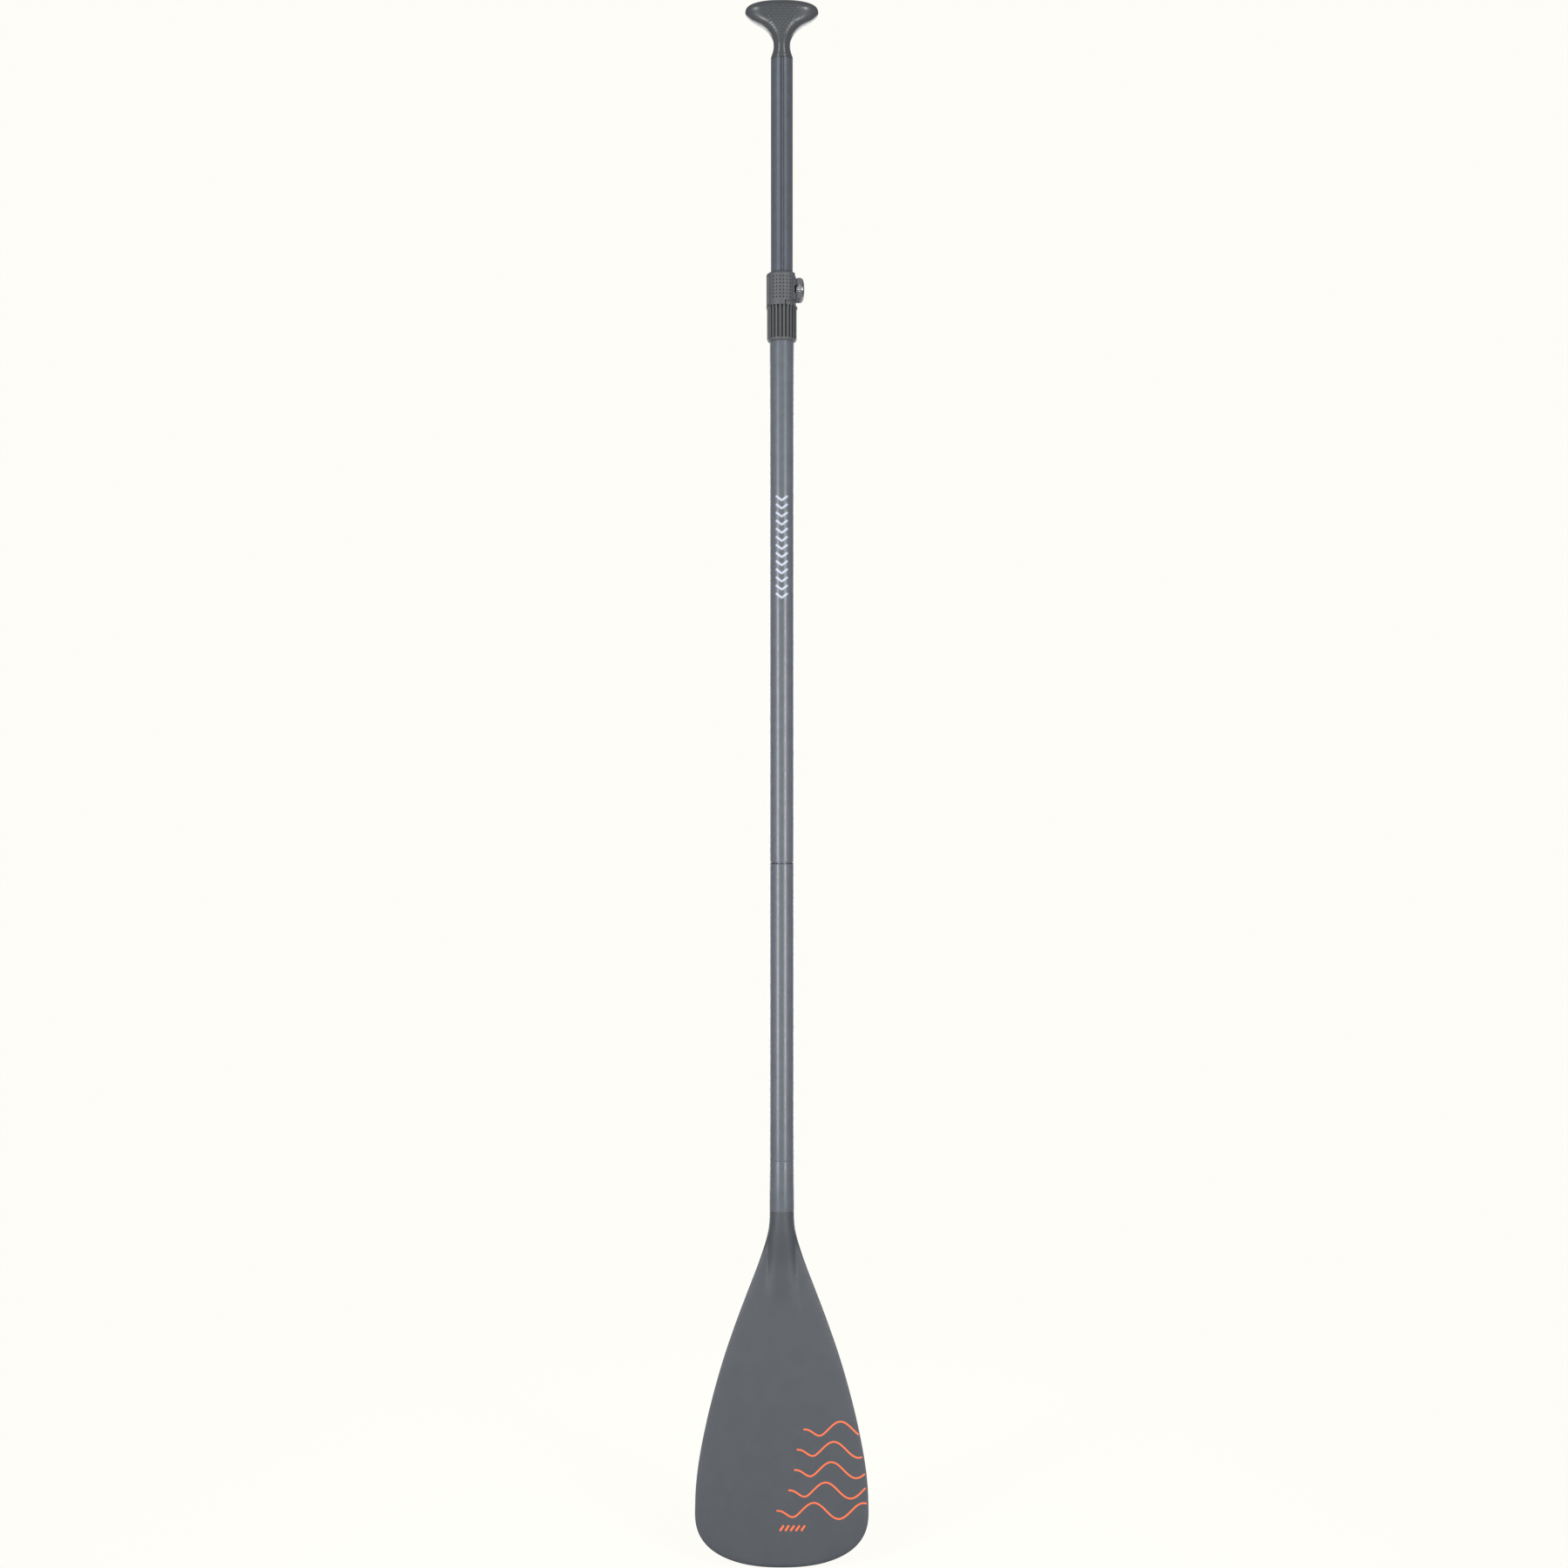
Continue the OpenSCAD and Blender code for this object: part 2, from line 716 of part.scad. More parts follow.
module palm_grip() {
    color([0.28, 0.29, 0.31])
        difference() {
            union() {
                rings([for (u = grip_steps) grip_ring(u)]);
                difference() {
                    bar(upper_bore, upper_top - grip_spigot, upper_top + 1);
                    rib_notch(upper_top - grip_spigot - 1, upper_top);
                }
            }
            cross_bar(rivet_r, 0, upper_top - rivet_down, 4, shaft_d);
        }
}

module grip_rivet() {
    dome_r = (rivet_head_r * rivet_head_r + rivet_head_h * rivet_head_h) / (2 * rivet_head_h);
    color([0.8, 0.81, 0.82])
        union() {
            cross_bar(rivet_r, 0, upper_top - rivet_down, 4, upper_r + 0.2);
            intersection() {
                cross_bar(rivet_head_r, 0, upper_top - rivet_down, upper_r, upper_r + 2);
                translate([0, upper_r + rivet_head_h - dome_r, upper_top - rivet_down])
                    sphere(r = dome_r, $fn = fine);
            }
        }
}

blade();
lower_tube();
foam_plug();
ferrule();
ferrule_cap();
button_spring();
joint_washer();
snap_button();
mid_tube();
clamp_collar();
clamp_liner();
cam_barrel();
tension_bolt();
tension_nut();
cam_pad();
clamp_lever();
upper_tube();
end_plug();
glide_ring();
palm_grip();
grip_rivet();
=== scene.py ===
import math

import bmesh
import bpy
from mathutils import Matrix, Vector

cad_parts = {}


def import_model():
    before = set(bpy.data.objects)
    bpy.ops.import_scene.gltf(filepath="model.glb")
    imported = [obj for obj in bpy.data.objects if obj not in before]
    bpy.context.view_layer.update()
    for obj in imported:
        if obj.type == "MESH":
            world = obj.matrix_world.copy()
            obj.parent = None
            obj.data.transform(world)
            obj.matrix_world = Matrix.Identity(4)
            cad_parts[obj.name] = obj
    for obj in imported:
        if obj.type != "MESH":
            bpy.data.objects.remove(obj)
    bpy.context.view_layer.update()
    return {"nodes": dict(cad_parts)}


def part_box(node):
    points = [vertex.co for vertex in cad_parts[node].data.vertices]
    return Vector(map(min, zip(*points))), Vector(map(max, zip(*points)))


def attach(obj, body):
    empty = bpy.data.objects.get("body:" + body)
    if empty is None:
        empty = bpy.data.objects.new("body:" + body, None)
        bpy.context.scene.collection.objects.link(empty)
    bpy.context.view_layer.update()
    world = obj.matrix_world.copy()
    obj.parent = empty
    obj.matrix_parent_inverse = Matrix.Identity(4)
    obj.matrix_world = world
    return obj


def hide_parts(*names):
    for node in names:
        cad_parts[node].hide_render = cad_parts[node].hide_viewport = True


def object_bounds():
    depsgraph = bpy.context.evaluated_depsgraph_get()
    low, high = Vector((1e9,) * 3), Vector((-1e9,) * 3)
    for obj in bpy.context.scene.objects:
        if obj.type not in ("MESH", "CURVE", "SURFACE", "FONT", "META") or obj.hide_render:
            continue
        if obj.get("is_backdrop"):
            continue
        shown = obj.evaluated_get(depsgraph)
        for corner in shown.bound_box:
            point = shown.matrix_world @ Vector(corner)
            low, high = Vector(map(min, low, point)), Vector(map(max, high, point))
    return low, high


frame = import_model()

MM = 0.001


# ---------- places, in millimetres, from the frame ----------

def node_box(name):
    """A CAD node's lowest and highest corners in millimetres."""
    low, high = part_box(name)
    return low / MM, high / MM


LOWER_LOW, LOWER_HIGH = node_box("lower_tube")
MID_LOW, MID_HIGH = node_box("mid_tube")
UPPER_LOW, UPPER_HIGH = node_box("upper_tube")
COLLAR_LOW, COLLAR_HIGH = node_box("clamp_collar")
BARREL_LOW, BARREL_HIGH = node_box("cam_barrel")
FERRULE_LOW, FERRULE_HIGH = node_box("ferrule")
BUTTON_LOW, BUTTON_HIGH = node_box("snap_button")
BOLT_LOW, BOLT_HIGH = node_box("tension_bolt")
NUT_LOW, NUT_HIGH = node_box("tension_nut")
RIVET_LOW, RIVET_HIGH = node_box("grip_rivet")
GRIP_HIGH = node_box("palm_grip")[1]
BLADE_HIGH = node_box("blade")[1]
LINER_LOW = node_box("clamp_liner")[0]

TUBE_WALL = 1.4
SHAFT_R = LOWER_HIGH.x
SHAFT_BORE = SHAFT_R - TUBE_WALL
UPPER_R = UPPER_HIGH.x
UPPER_BORE = UPPER_R - TUBE_WALL
FERRULE_BORE = FERRULE_HIGH.x - 1.6
SLIDE_R = SHAFT_BORE - 0.1
NECK_Z = LOWER_LOW.z
JOINT_Z = LOWER_HIGH.z
CLAMP_Z = COLLAR_LOW.z
CLAMP_TOP = COLLAR_HIGH.z
SEAT_Z = CLAMP_Z + 1
SEAT_IN = 0.15
RING_Z = NECK_Z + 60
BUTTON_Z = (BUTTON_LOW.z + BUTTON_HIGH.z) / 2
BUTTON_R = 3.4
BUTTON_HOLE_R = 3.7
RIVET_Z = (RIVET_LOW.z + RIVET_HIGH.z) / 2
RIVET_R = 1.6
CAM_X = (BOLT_LOW.x + BOLT_HIGH.x) / 2
CAM_Z = (BOLT_LOW.z + BOLT_HIGH.z) / 2
CAM_R = 4.9
CAM_Y = BOLT_LOW.y + CAM_R
CAM_HALF = 12
BARREL_HALF = (BARREL_HIGH.z - BARREL_LOW.z) / 2
BARREL_R = (BARREL_HIGH.x - BARREL_LOW.x) / 2
HEAD_R = (BOLT_HIGH.x - BOLT_LOW.x) / 2
BOLT_R = 2
BOLT_HOLE_R = 2.15
NUT_R = 7 / math.sqrt(3)


# ---------- mesh kit ----------

def mesh_object(name, points, faces):
    """An object from points in millimetres and their faces."""
    mesh = bpy.data.meshes.new(name)
    mesh.from_pydata([(x * MM, y * MM, z * MM) for x, y, z in points], [], faces)
    tidy = bmesh.new()
    tidy.from_mesh(mesh)
    bmesh.ops.remove_doubles(tidy, verts=tidy.verts, dist=2e-7)
    bmesh.ops.recalc_face_normals(tidy, faces=tidy.faces)
    tidy.to_mesh(mesh)
    tidy.free()
    piece = bpy.data.objects.new(name, mesh)
    bpy.context.collection.objects.link(piece)
    return piece


def skin(name, rows, loop=False):
    """A closed skin through equal rings. The last ring joins the first, or both are capped."""
    count, width = len(rows), len(rows[0])
    faces = []
    for i in range(count if loop else count - 1):
        a, b = i * width, (i + 1) % count * width
        faces += [(a + k, b + k, b + (k + 1) % width, a + (k + 1) % width) for k in range(width)]
    if not loop:
        faces.append(tuple(range(width)))
        faces.append(tuple((count - 1) * width + k for k in range(width)))
    return mesh_object(name, [p for row in rows for p in row], faces)


def polar(r, angle, z):
    """A point at an angle in degrees round the shaft, from +X."""
    return (r * math.cos(math.radians(angle)), r * math.sin(math.radians(angle)), z)


def lathe(name, outline, steps=144):
    """A closed outline of (radius, height) points turned about Z."""
    return skin(name, [[polar(r, 360 * k / steps, z) for r, z in outline] for k in range(steps)], True)


def rounded(corners, steps=4):
    """Outline points from (radius, height, fillet) corners."""
    made = []
    for i, (x, y, fillet) in enumerate(corners):
        here = Vector((x, y))
        back = Vector(corners[i - 1][:2]) - here
        ahead = Vector(corners[(i + 1) % len(corners)][:2]) - here
        if not fillet:
            made.append((x, y))
            continue
        reach = fillet / math.tan(back.angle(ahead) / 2)
        start = here + back.normalized() * min(reach, back.length * 0.49)
        end = here + ahead.normalized() * min(reach, ahead.length * 0.49)
        for k in range(steps + 1):
            t = k / steps
            made.append(tuple(start * (1 - t) ** 2 + here * 2 * t * (1 - t) + end * t * t))
    return made


def settle(piece):
    """Applies a piece's modifiers."""
    graph = bpy.context.evaluated_depsgraph_get()
    mesh = bpy.data.meshes.new_from_object(piece.evaluated_get(graph))
    piece.modifiers.clear()
    piece.data = mesh
    return piece


def combine(piece, others, operation):
    """Cuts others from a piece, or joins them to it."""
    for other in others:
        step = piece.modifiers.new("combine", "BOOLEAN")
        step.operation = operation
        step.solver = "EXACT"
        step.object = other
        settle(piece)
        bpy.data.objects.remove(other)
    return piece


def soften(piece, width, segments=2, angle=40):
    """Rounds a piece's sharp edges."""
    step = piece.modifiers.new("soften", "BEVEL")
    step.width = width * MM
    step.segments = segments
    step.limit_method = "ANGLE"
    step.angle_limit = math.radians(angle)
    step.harden_normals = False
    return settle(piece)


def across(piece, x, z):
    """Lays a piece turned about Z along Y instead, at x and z."""
    turn = Matrix.Rotation(math.radians(-90), 4, "X")
    piece.data.transform(Matrix.Translation((x * MM, 0, z * MM)) @ turn)
    return piece


def to_cam(piece):
    """Moves a piece from the origin to the cam's middle."""
    piece.data.transform(Matrix.Translation((CAM_X * MM, CAM_Y * MM, CAM_Z * MM)))
    return piece


def block(name, low, high):
    """A box between two corners."""
    corners = ((low[1], low[2]), (high[1], low[2]), (high[1], high[2]), (low[1], high[2]))
    return skin(name, [[(x, y, z) for y, z in corners] for x in (low[0], high[0])])


def rod(name, r, z0, z1, steps=64):
    """A solid rod along Z."""
    return skin(name, [[polar(r, 360 * k / steps, z) for k in range(steps)] for z in (z0, z1)])


def place(piece, material, body, slot, *nodes, sharp=32):
    """Shades a finished piece, gives it its material and body, and hides the CAD nodes it stands in for. The
    slot is not used.
    """
    piece.data.shade_smooth()
    piece.data.set_sharp_from_angle(angle=math.radians(sharp))
    piece.data.materials.clear()
    piece.data.materials.append(material)
    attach(piece, body)
    if nodes:
        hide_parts(*nodes)
    return piece


def ease(u):
    """Rises smoothly from 0 to 1 as u does."""
    v = min(max(u, 0), 1)
    return v * v * (3 - 2 * v)


def between(low, high, count):
    """Evenly spaced values above low, up to high."""
    return [low + (high - low) * k / count for k in range(1, count + 1)]


def through(table, x):
    """A smooth curve through table rows of (at, value)."""
    def slope(i):
        a, b = max(i - 1, 0), min(i + 1, len(table) - 1)
        return (table[b][1] - table[a][1]) / (table[b][0] - table[a][0])
    i = 0
    while i + 2 < len(table) and x >= table[i + 1][0]:
        i += 1
    wide = table[i + 1][0] - table[i][0]
    u = (x - table[i][0]) / wide
    start = table[i][1] * (2 * u ** 3 - 3 * u * u + 1) + slope(i) * wide * (u ** 3 - 2 * u * u + u)
    return start + table[i + 1][1] * (3 * u * u - 2 * u ** 3) + slope(i + 1) * wide * (u ** 3 - u * u)


# ---------- material kit ----------

def linear(*srgb):
    """A colour from 0 to 255 as Blender's linear values."""
    return tuple(((c / 255 + 0.055) / 1.055) ** 2.4 if c > 10 else c / 255 / 12.92 for c in srgb) + (1.0,)


def add_node(tree, kind, inputs=None, **settings):
    """A shader node with its settings, and its inputs as values or as sockets to link."""
    node = tree.nodes.new("ShaderNode" + kind)
    for key, value in settings.items():
        setattr(node, key, value)
    for key, value in (inputs or {}).items():
        if isinstance(value, bpy.types.NodeSocket):
            tree.links.new(value, node.inputs[key])
        else:
            node.inputs[key].default_value = value
    return node


class Material:
    """A Principled material with procedural colour, roughness and bump in the piece's own frame."""

    def __init__(self, name, roughness=0.5, metallic=0.0, **shader):
        self.made = bpy.data.materials.new(name)
        self.made.use_nodes = True
        self.tree = self.made.node_tree
        self.shader = self.tree.nodes["Principled BSDF"]
        self.shader.inputs["Roughness"].default_value = roughness
        self.shader.inputs["Metallic"].default_value = metallic
        for key, value in shader.items():
            self.shader.inputs[key.replace("_", " ")].default_value = value
        self.place = self.add("TexCoord").outputs["Object"]
        self.height = None

    def add(self, kind, inputs=None, **settings):
        return add_node(self.tree, kind, inputs, **settings)

    def noise(self, size, detail=3.0, rough=0.5, stretch=(1, 1, 1)):
        """Noise with features about size millimetres across, longer along an axis by its stretch."""
        scale = [1 / (size * MM * s) for s in stretch]
        where = self.add("Mapping", {"Vector": self.place, "Scale": scale}).outputs[0]
        inputs = {"Vector": where, "Scale": 1.0, "Detail": detail, "Roughness": rough}
        return self.add("TexNoise", inputs).outputs[0]

    def cells(self, size):
        """Distance from the middles of cells about size millimetres across."""
        where = self.add("Mapping", {"Vector": self.place, "Scale": [1 / (size * MM)] * 3}).outputs[0]
        return self.add("TexVoronoi", {"Vector": where, "Scale": 1.0}, feature="F1").outputs["Distance"]

    def span(self, value, low, high, to_low=0.0, to_high=1.0):
        """Maps a value from low..high to to_low..to_high, smoothly and clamped."""
        inputs = {"Value": value, "From Min": low, "From Max": high, "To Min": to_low, "To Max": to_high}
        return self.add("MapRange", inputs, interpolation_type="SMOOTHSTEP").outputs[0]

    def math(self, operation, a, b=0.0):
        return self.add("Math", {0: a, 1: b}, operation=operation).outputs[0]

    def mix(self, share, a, b, blend="MIX"):
        """Colours a and b mixed, with b's share from 0 to 1."""
        return self.add("Mix", {0: share, 6: a, 7: b}, data_type="RGBA", blend_type=blend).outputs[2]

    def colour(self, socket):
        self.tree.links.new(socket, self.shader.inputs["Base Color"])

    def rough(self, socket):
        self.tree.links.new(socket, self.shader.inputs["Roughness"])

    def bump(self, height, deep, strength=1.0):
        """Adds relief deep millimetres high."""
        inputs = {"Height": height, "Distance": deep * MM, "Strength": strength}
        if self.height is not None:
            inputs["Normal"] = self.height
        self.height = self.add("Bump", inputs).outputs[0]
        self.tree.links.new(self.height, self.shader.inputs["Normal"])

    def shade(self, share, depth):
        """Paints shade into the colour: darkens it by depth where share is 1, as shadow does in a recess."""
        before = self.shader.inputs["Base Color"].links[0].from_socket
        dim = self.span(share, 0.0, 1.0, 1.0, 1.0 - depth)
        grey = self.add("CombineColor", {0: dim, 1: dim, 2: dim}).outputs[0]
        self.colour(self.mix(1.0, before, grey, "MULTIPLY"))

    def axes(self):
        """The piece's own x, y and z in metres."""
        return self.add("SeparateXYZ", {0: self.place}).outputs

    def length(self, a, b):
        """The length of the vector (a, b)."""
        total = self.math("ADD", self.math("MULTIPLY", a, a), self.math("MULTIPLY", b, b))
        return self.math("SQRT", total)

    def all_of(self, *shares):
        """The product of shares from 0 to 1."""
        made = shares[0]
        for share in shares[1:]:
            made = self.math("MULTIPLY", made, share)
        return made


def shades(base, change):
    """A colour's darker and lighter neighbours."""
    return [tuple(c * (1 + d) for c in base[:3]) + (1.0,) for d in (-change, change)]


def coated(name, colour, roughness):
    """Satin paint on a drawn tube, with metal flecks, mottling, fine orange peel and rubbed lines."""
    m = Material(name, roughness, IOR=1.5)
    dark, light = shades(colour, 0.05)
    base = m.mix(m.span(m.noise(14, 3), 0.35, 0.65), dark, light)
    flecks = m.span(m.cells(0.45), 0.28, 0.1)
    bright = tuple(min(c * 1.35 + 0.01, 1) for c in colour[:3]) + (1.0,)
    base = m.mix(m.math("MULTIPLY", flecks, 0.25), base, bright)
    rub = m.span(m.noise(1.2, 4, 0.6, (1, 1, 60)), 0.6, 0.78)
    m.colour(m.mix(m.math("MULTIPLY", rub, 0.1), base, bright))
    gloss = m.span(m.noise(5, 3), 0.3, 0.7, roughness - 0.03, roughness + 0.04)
    m.rough(m.math("ADD", gloss, m.math("MULTIPLY", rub, 0.05)))
    m.bump(m.noise(0.5, 2), 0.01, 0.35)
    return m


def moulded(name, colour, roughness, grain=0.35, deep=0.02, **shader):
    """Moulded nylon: fine spark grain, soft clouding and faint flow streaks down the part."""
    m = Material(name, roughness, **shader)
    dark, light = shades(colour, 0.04)
    cloud = m.mix(m.span(m.noise(22, 4, 0.55), 0.32, 0.68), dark, light)
    streak = m.span(m.noise(2.4, 4, 0.6, (1, 1, 9)), 0.45, 0.8)
    pale = tuple(c * 1.16 + 0.004 for c in colour[:3]) + (1.0,)
    m.colour(m.mix(m.math("MULTIPLY", streak, 0.22), cloud, pale))
    m.rough(m.span(m.noise(3, 3), 0.3, 0.7, roughness - 0.04, roughness + 0.05))
    m.bump(m.noise(grain, 3, 0.65), deep, 0.5)
    return m


def metal(name, colour, roughness, lines=(1, 1, 1), size=0.3):
    """Bare metal with fine tool marks stretched along lines, and darker stains."""
    m = Material(name, roughness, 1.0)
    dark, light = shades(colour, 0.08)
    marks = m.noise(size, 4, 0.6, lines)
    stain = m.span(m.noise(7, 4), 0.4, 0.75)
    m.colour(m.mix(m.math("MULTIPLY", stain, 0.35), m.mix(marks, dark, light), shades(colour, 0.3)[0]))
    m.rough(m.span(marks, 0.3, 0.7, roughness - 0.08, roughness + 0.1))
    m.bump(marks, 0.012, 0.6)
    return m


# ---------- materials ----------

SHAFT_COAT = coated("shaft_coat", linear(83, 87, 94), 0.31)
UPPER_COAT = coated("upper_coat", linear(71, 75, 84), 0.36)
BLADE_NYLON = moulded("blade_nylon", linear(61, 64, 69), 0.54, 0.5, 0.02)
GRIP_PLASTIC = moulded("grip_plastic", linear(66, 68, 70), 0.27, 0.7, 0.006, Specular_IOR_Level=0.32)
CLAMP_NYLON = moulded("clamp_nylon", linear(70, 72, 74), 0.55, 0.4, 0.03)
LEVER_NYLON = moulded("lever_nylon", linear(72, 73, 77), 0.52, 0.4, 0.03)
LINER_NYLON = moulded("liner_nylon", linear(38, 38, 40), 0.5)
GLIDE_PLASTIC = moulded("glide_plastic", linear(205, 204, 198), 0.4)
BARE_ALLOY = metal("bare_alloy", linear(205, 207, 210), 0.34, (1, 1, 0.02), 6)
STEEL = metal("steel", linear(214, 214, 212), 0.22)
FOAM = moulded("foam", linear(214, 212, 206), 0.9, 1.2, 0.3)
SEAL_RUBBER = moulded("seal_rubber", linear(30, 30, 32), 0.7, 0.5, 0.03)
ORANGE_INK = moulded("orange_ink", linear(243, 104, 58), 0.5, 0.5, 0.01)
GREY_INK = moulded("grey_ink", linear(160, 168, 182), 0.4, 0.5, 0.01)


# ---------- blade ----------

BLADE_LEN = 410
BLADE_HALF = BLADE_HIGH.x
BLADE_LEAN = 9
BEND_LEN = 150
BLADE_THICK = 2.8
EDGE_LOSS = 1.3
TIP_ROUND = 5
CAMBER = 4
SPIGOT_LEN = 70
# Shares of blade length: where it is widest, where the spine ends, and where the round neck has gone flat
WIDEST = 0.842
SPINE_END = 0.34
NECK_END = 0.16
# Share of blade length, share of greatest half width, from the neck to the widest place
BLADE_EDGE = [
    (0, 0.141), (0.03, 0.145), (0.0585, 0.159), (0.0976, 0.199), (0.158, 0.282),
    (0.237, 0.407), (0.317, 0.531), (0.415, 0.670), (0.512, 0.786), (0.61, 0.884),
    (0.707, 0.959), (0.78, 0.992), (WIDEST, 1),
]


def blade_half(s):
    """Half the blade's width after s millimetres."""
    u = s / BLADE_LEN
    v = min(max((u - WIDEST) / (1 - WIDEST), 0), 1)
    return BLADE_HALF * (through(BLADE_EDGE, u) if u < WIDEST else (1 - v ** 2.55) ** (1 / 2.25))


def blade_line(s):
    """Where the blade's middle line is after s millimetres, as (y, z)."""
    u, lean = s / BEND_LEN, math.radians(BLADE_LEAN)
    out = BEND_LEN * (u ** 3 - u ** 4 / 2) if u < 1 else s - BEND_LEN / 2
    lost = 9 / 5 * u ** 5 - 2 * u ** 6 + 4 / 7 * u ** 7 if u < 1 else 0.3714 + u - 1
    return -math.sin(lean) * out, NECK_Z - s + (1 - math.cos(lean)) * BEND_LEN * lost


def spine_half(s, w):
    """Half the spine's width after s millimetres, where the blade's half width is w."""
    return min(SHAFT_R * (1 + 0.6 * ease(s / (SPINE_END * BLADE_LEN))), w * 0.92)


def blade_height(x, s, w, share):
    """Half thickness at x: the plate, with a share of the spine's height on it."""
    u = min(s / (SPINE_END * BLADE_LEN), 1)
    rise = SHAFT_R * (1 - u) ** 0.8 * (1 - 0.25 * u)
    q = min(abs(x) / spine_half(s, w), 1)
    ridge = share * rise * max(1 - q ** 2.8, 0) ** 0.85
    tip = math.sqrt(max(1 - max((s - BLADE_LEN + TIP_ROUND) / TIP_ROUND, 0) ** 2, 0.002))
    plate = (BLADE_THICK - EDGE_LOSS * (x / w) ** 2) * math.sqrt(max(1 - (x / w) ** 10, 0)) * tip
    top = max(ridge, plate)
    foot = math.exp(-abs(ridge - plate) / 1.6) * ease(u * 6) * ease(ridge / 1.2)
    return top + 0.5 * foot


def off_line(x, s, out):
    """The point at x and s that stands out from the blade's middle, with the camber added."""
    n = CAMBER * (x / BLADE_HALF) ** 2 * ease(s / (0.5 * BLADE_LEN)) + out
    tilt = math.radians(BLADE_LEAN * ease(s / BEND_LEN))
    y, z = blade_line(s)
    return x, y - n * math.cos(tilt), z + n * math.sin(tilt)


def blade_point(p, s, side):
    """A point at p, from 0 in the middle to 1 on the edge, and s along. Side is -1 in front, 1 behind."""
    w = blade_half(s)
    k = ease(s / (NECK_END * BLADE_LEN))
    a = spine_half(s, w)
    wide = a * p * 2 if p < 0.5 else a + (w - a) * math.sin((p - 0.5) * math.pi)
    x = (1 - k) * w * math.sin(math.pi / 2 * p) + k * wide
    share = 1 if side < 0 else 1 - 0.3 * ease(s / (0.3 * BLADE_LEN))
    h = (1 - k) * SHAFT_R * math.cos(math.pi / 2 * p) + k * blade_height(x, s, w, share)
    return off_line(x, s, -side * h)


def blade_ring(s, n=36):
    """The blade's section after s millimetres: the front's left half first, then round."""
    def flip(p):
        return -p[0], p[1], p[2]
    return (
        [flip(blade_point(i / n, s, -1)) for i in range(n)]
        + [flip(blade_point(i / n, s, 1)) for i in range(n, 0, -1)]
        + [blade_point(i / n, s, 1) for i in range(n)]
        + [blade_point(i / n, s, -1) for i in range(n, 0, -1)]
    )


def blade():
    """The blade with its spigot, from the spigot's end down to the tip."""
    along = [i / 110 * WIDEST for i in range(110)]
    along += [WIDEST + (1 - WIDEST) * min(math.sin(math.radians(i * 2)), 0.9995) for i in range(45)]
    neck = blade_ring(0)
    spigot = SHAFT_BORE / SHAFT_R
    rows = []
    for share, z in ((spigot * 0.93, SPIGOT_LEN), (spigot, SPIGOT_LEN - 1.5), (spigot, 0.01)):
        rows.append([(x * share, y * share, NECK_Z + z) for x, y, z0 in neck])
    rows += [blade_ring(u * BLADE_LEN) for u in along]
    return skin("blade_shell", rows)


place(blade(), BLADE_NYLON.made, "blade_section", "blade_nylon", "blade", sharp=50)


# ---------- printed marks ----------

def ribbon(name, paths, half, at, lift=0.06, sink=0.12):
    """Ink lines along paths of (u, v) points. at(u, v, lift) puts a point on the printed surface."""
    points, faces = [], []
    for path in paths:
        first = len(points)
        for i, (u, v) in enumerate(path):
            before, after = path[max(i - 1, 0)], path[min(i + 1, len(path) - 1)]
            run = Vector((after[0] - before[0], after[1] - before[1])).normalized() * half
            left, right = (u - run.y, v + run.x), (u + run.y, v - run.x)
            points += [at(*left, -sink), at(*left, lift), at(*right, lift), at(*right, -sink)]
        for i in range(len(path) - 1):
            a, b = first + i * 4, first + i * 4 + 4
            faces += [(a + k, b + k, b + (k + 1) % 4, a + (k + 1) % 4) for k in range(4)]
        end = len(points) - 4
        faces += [(first, first + 1, first + 2, first + 3), (end, end + 1, end + 2, end + 3)]
    return mesh_object(name, points, faces)


def on_blade(x, s, lift):
    """The blade's front face at x and s, raised by lift."""
    return off_line(x, s, blade_height(x, s, blade_half(s), 1) + lift)


def on_mid(u, z, lift):
    """The mid shaft's front at u round from the middle, and height z."""
    return polar(SHAFT_R + lift, -90 + math.degrees(u / SHAFT_R), z)


WAVE_S = 346
WAVE_PITCH = 23
WAVE_LEN = 58
WAVE_HIGH = 9
WAVE_GROW = 24
DASH_S = 362.5
DASH_PITCH = 6.2
CHEVRON_UP = 314
CHEVRON_PITCH = 9.6


def waves():
    """Nested wave lines that run off the blade's right edge."""
    paths = []
    for k in range(5):
        start = -6 + 9 * k + 5 * math.sin(k * 1.3)
        path = []
        x = start
        while True:
            high = WAVE_HIGH * ease((x - start) / WAVE_GROW)
            s = WAVE_S - WAVE_PITCH * k + high * math.sin((x - start) / WAVE_LEN * 2 * math.pi)
            if x > blade_half(s) - 1.6:
                break
            path.append((x, s))
            x += 1.5
        paths.append(path)
    return paths


def dashes():
    """A row of short slanted dashes under the waves."""
    return [[(DASH_PITCH * k + 2.2 - 1.1 * t, DASH_S + 1.5 * t) for t in range(5)] for k in range(5)]


def chevrons():
    """Nested arrowheads along the mid shaft that point to the blade."""
    paths = []
    for k in range(13):
        z = MID_LOW.z + CHEVRON_UP + CHEVRON_PITCH * k
        side = [(7.2 - 0.9 * t, z + 5.4 - 0.68 * t) for t in range(8)]
        paths.append(side + [(0, z)] + [(-u, v) for u, v in reversed(side)])
    return paths


place(ribbon("blade_waves", waves(), 0.9, on_blade), ORANGE_INK.made,
      "blade_section", "blade_nylon", sharp=60)
place(ribbon("blade_dashes", dashes(), 1.1, on_blade), ORANGE_INK.made,
      "blade_section", "blade_nylon", sharp=60)
place(ribbon("shaft_chevrons", chevrons(), 1.3, on_mid), GREY_INK.made,
      "mid_section", "shaft_coat", sharp=60)


# ---------- shafts ----------

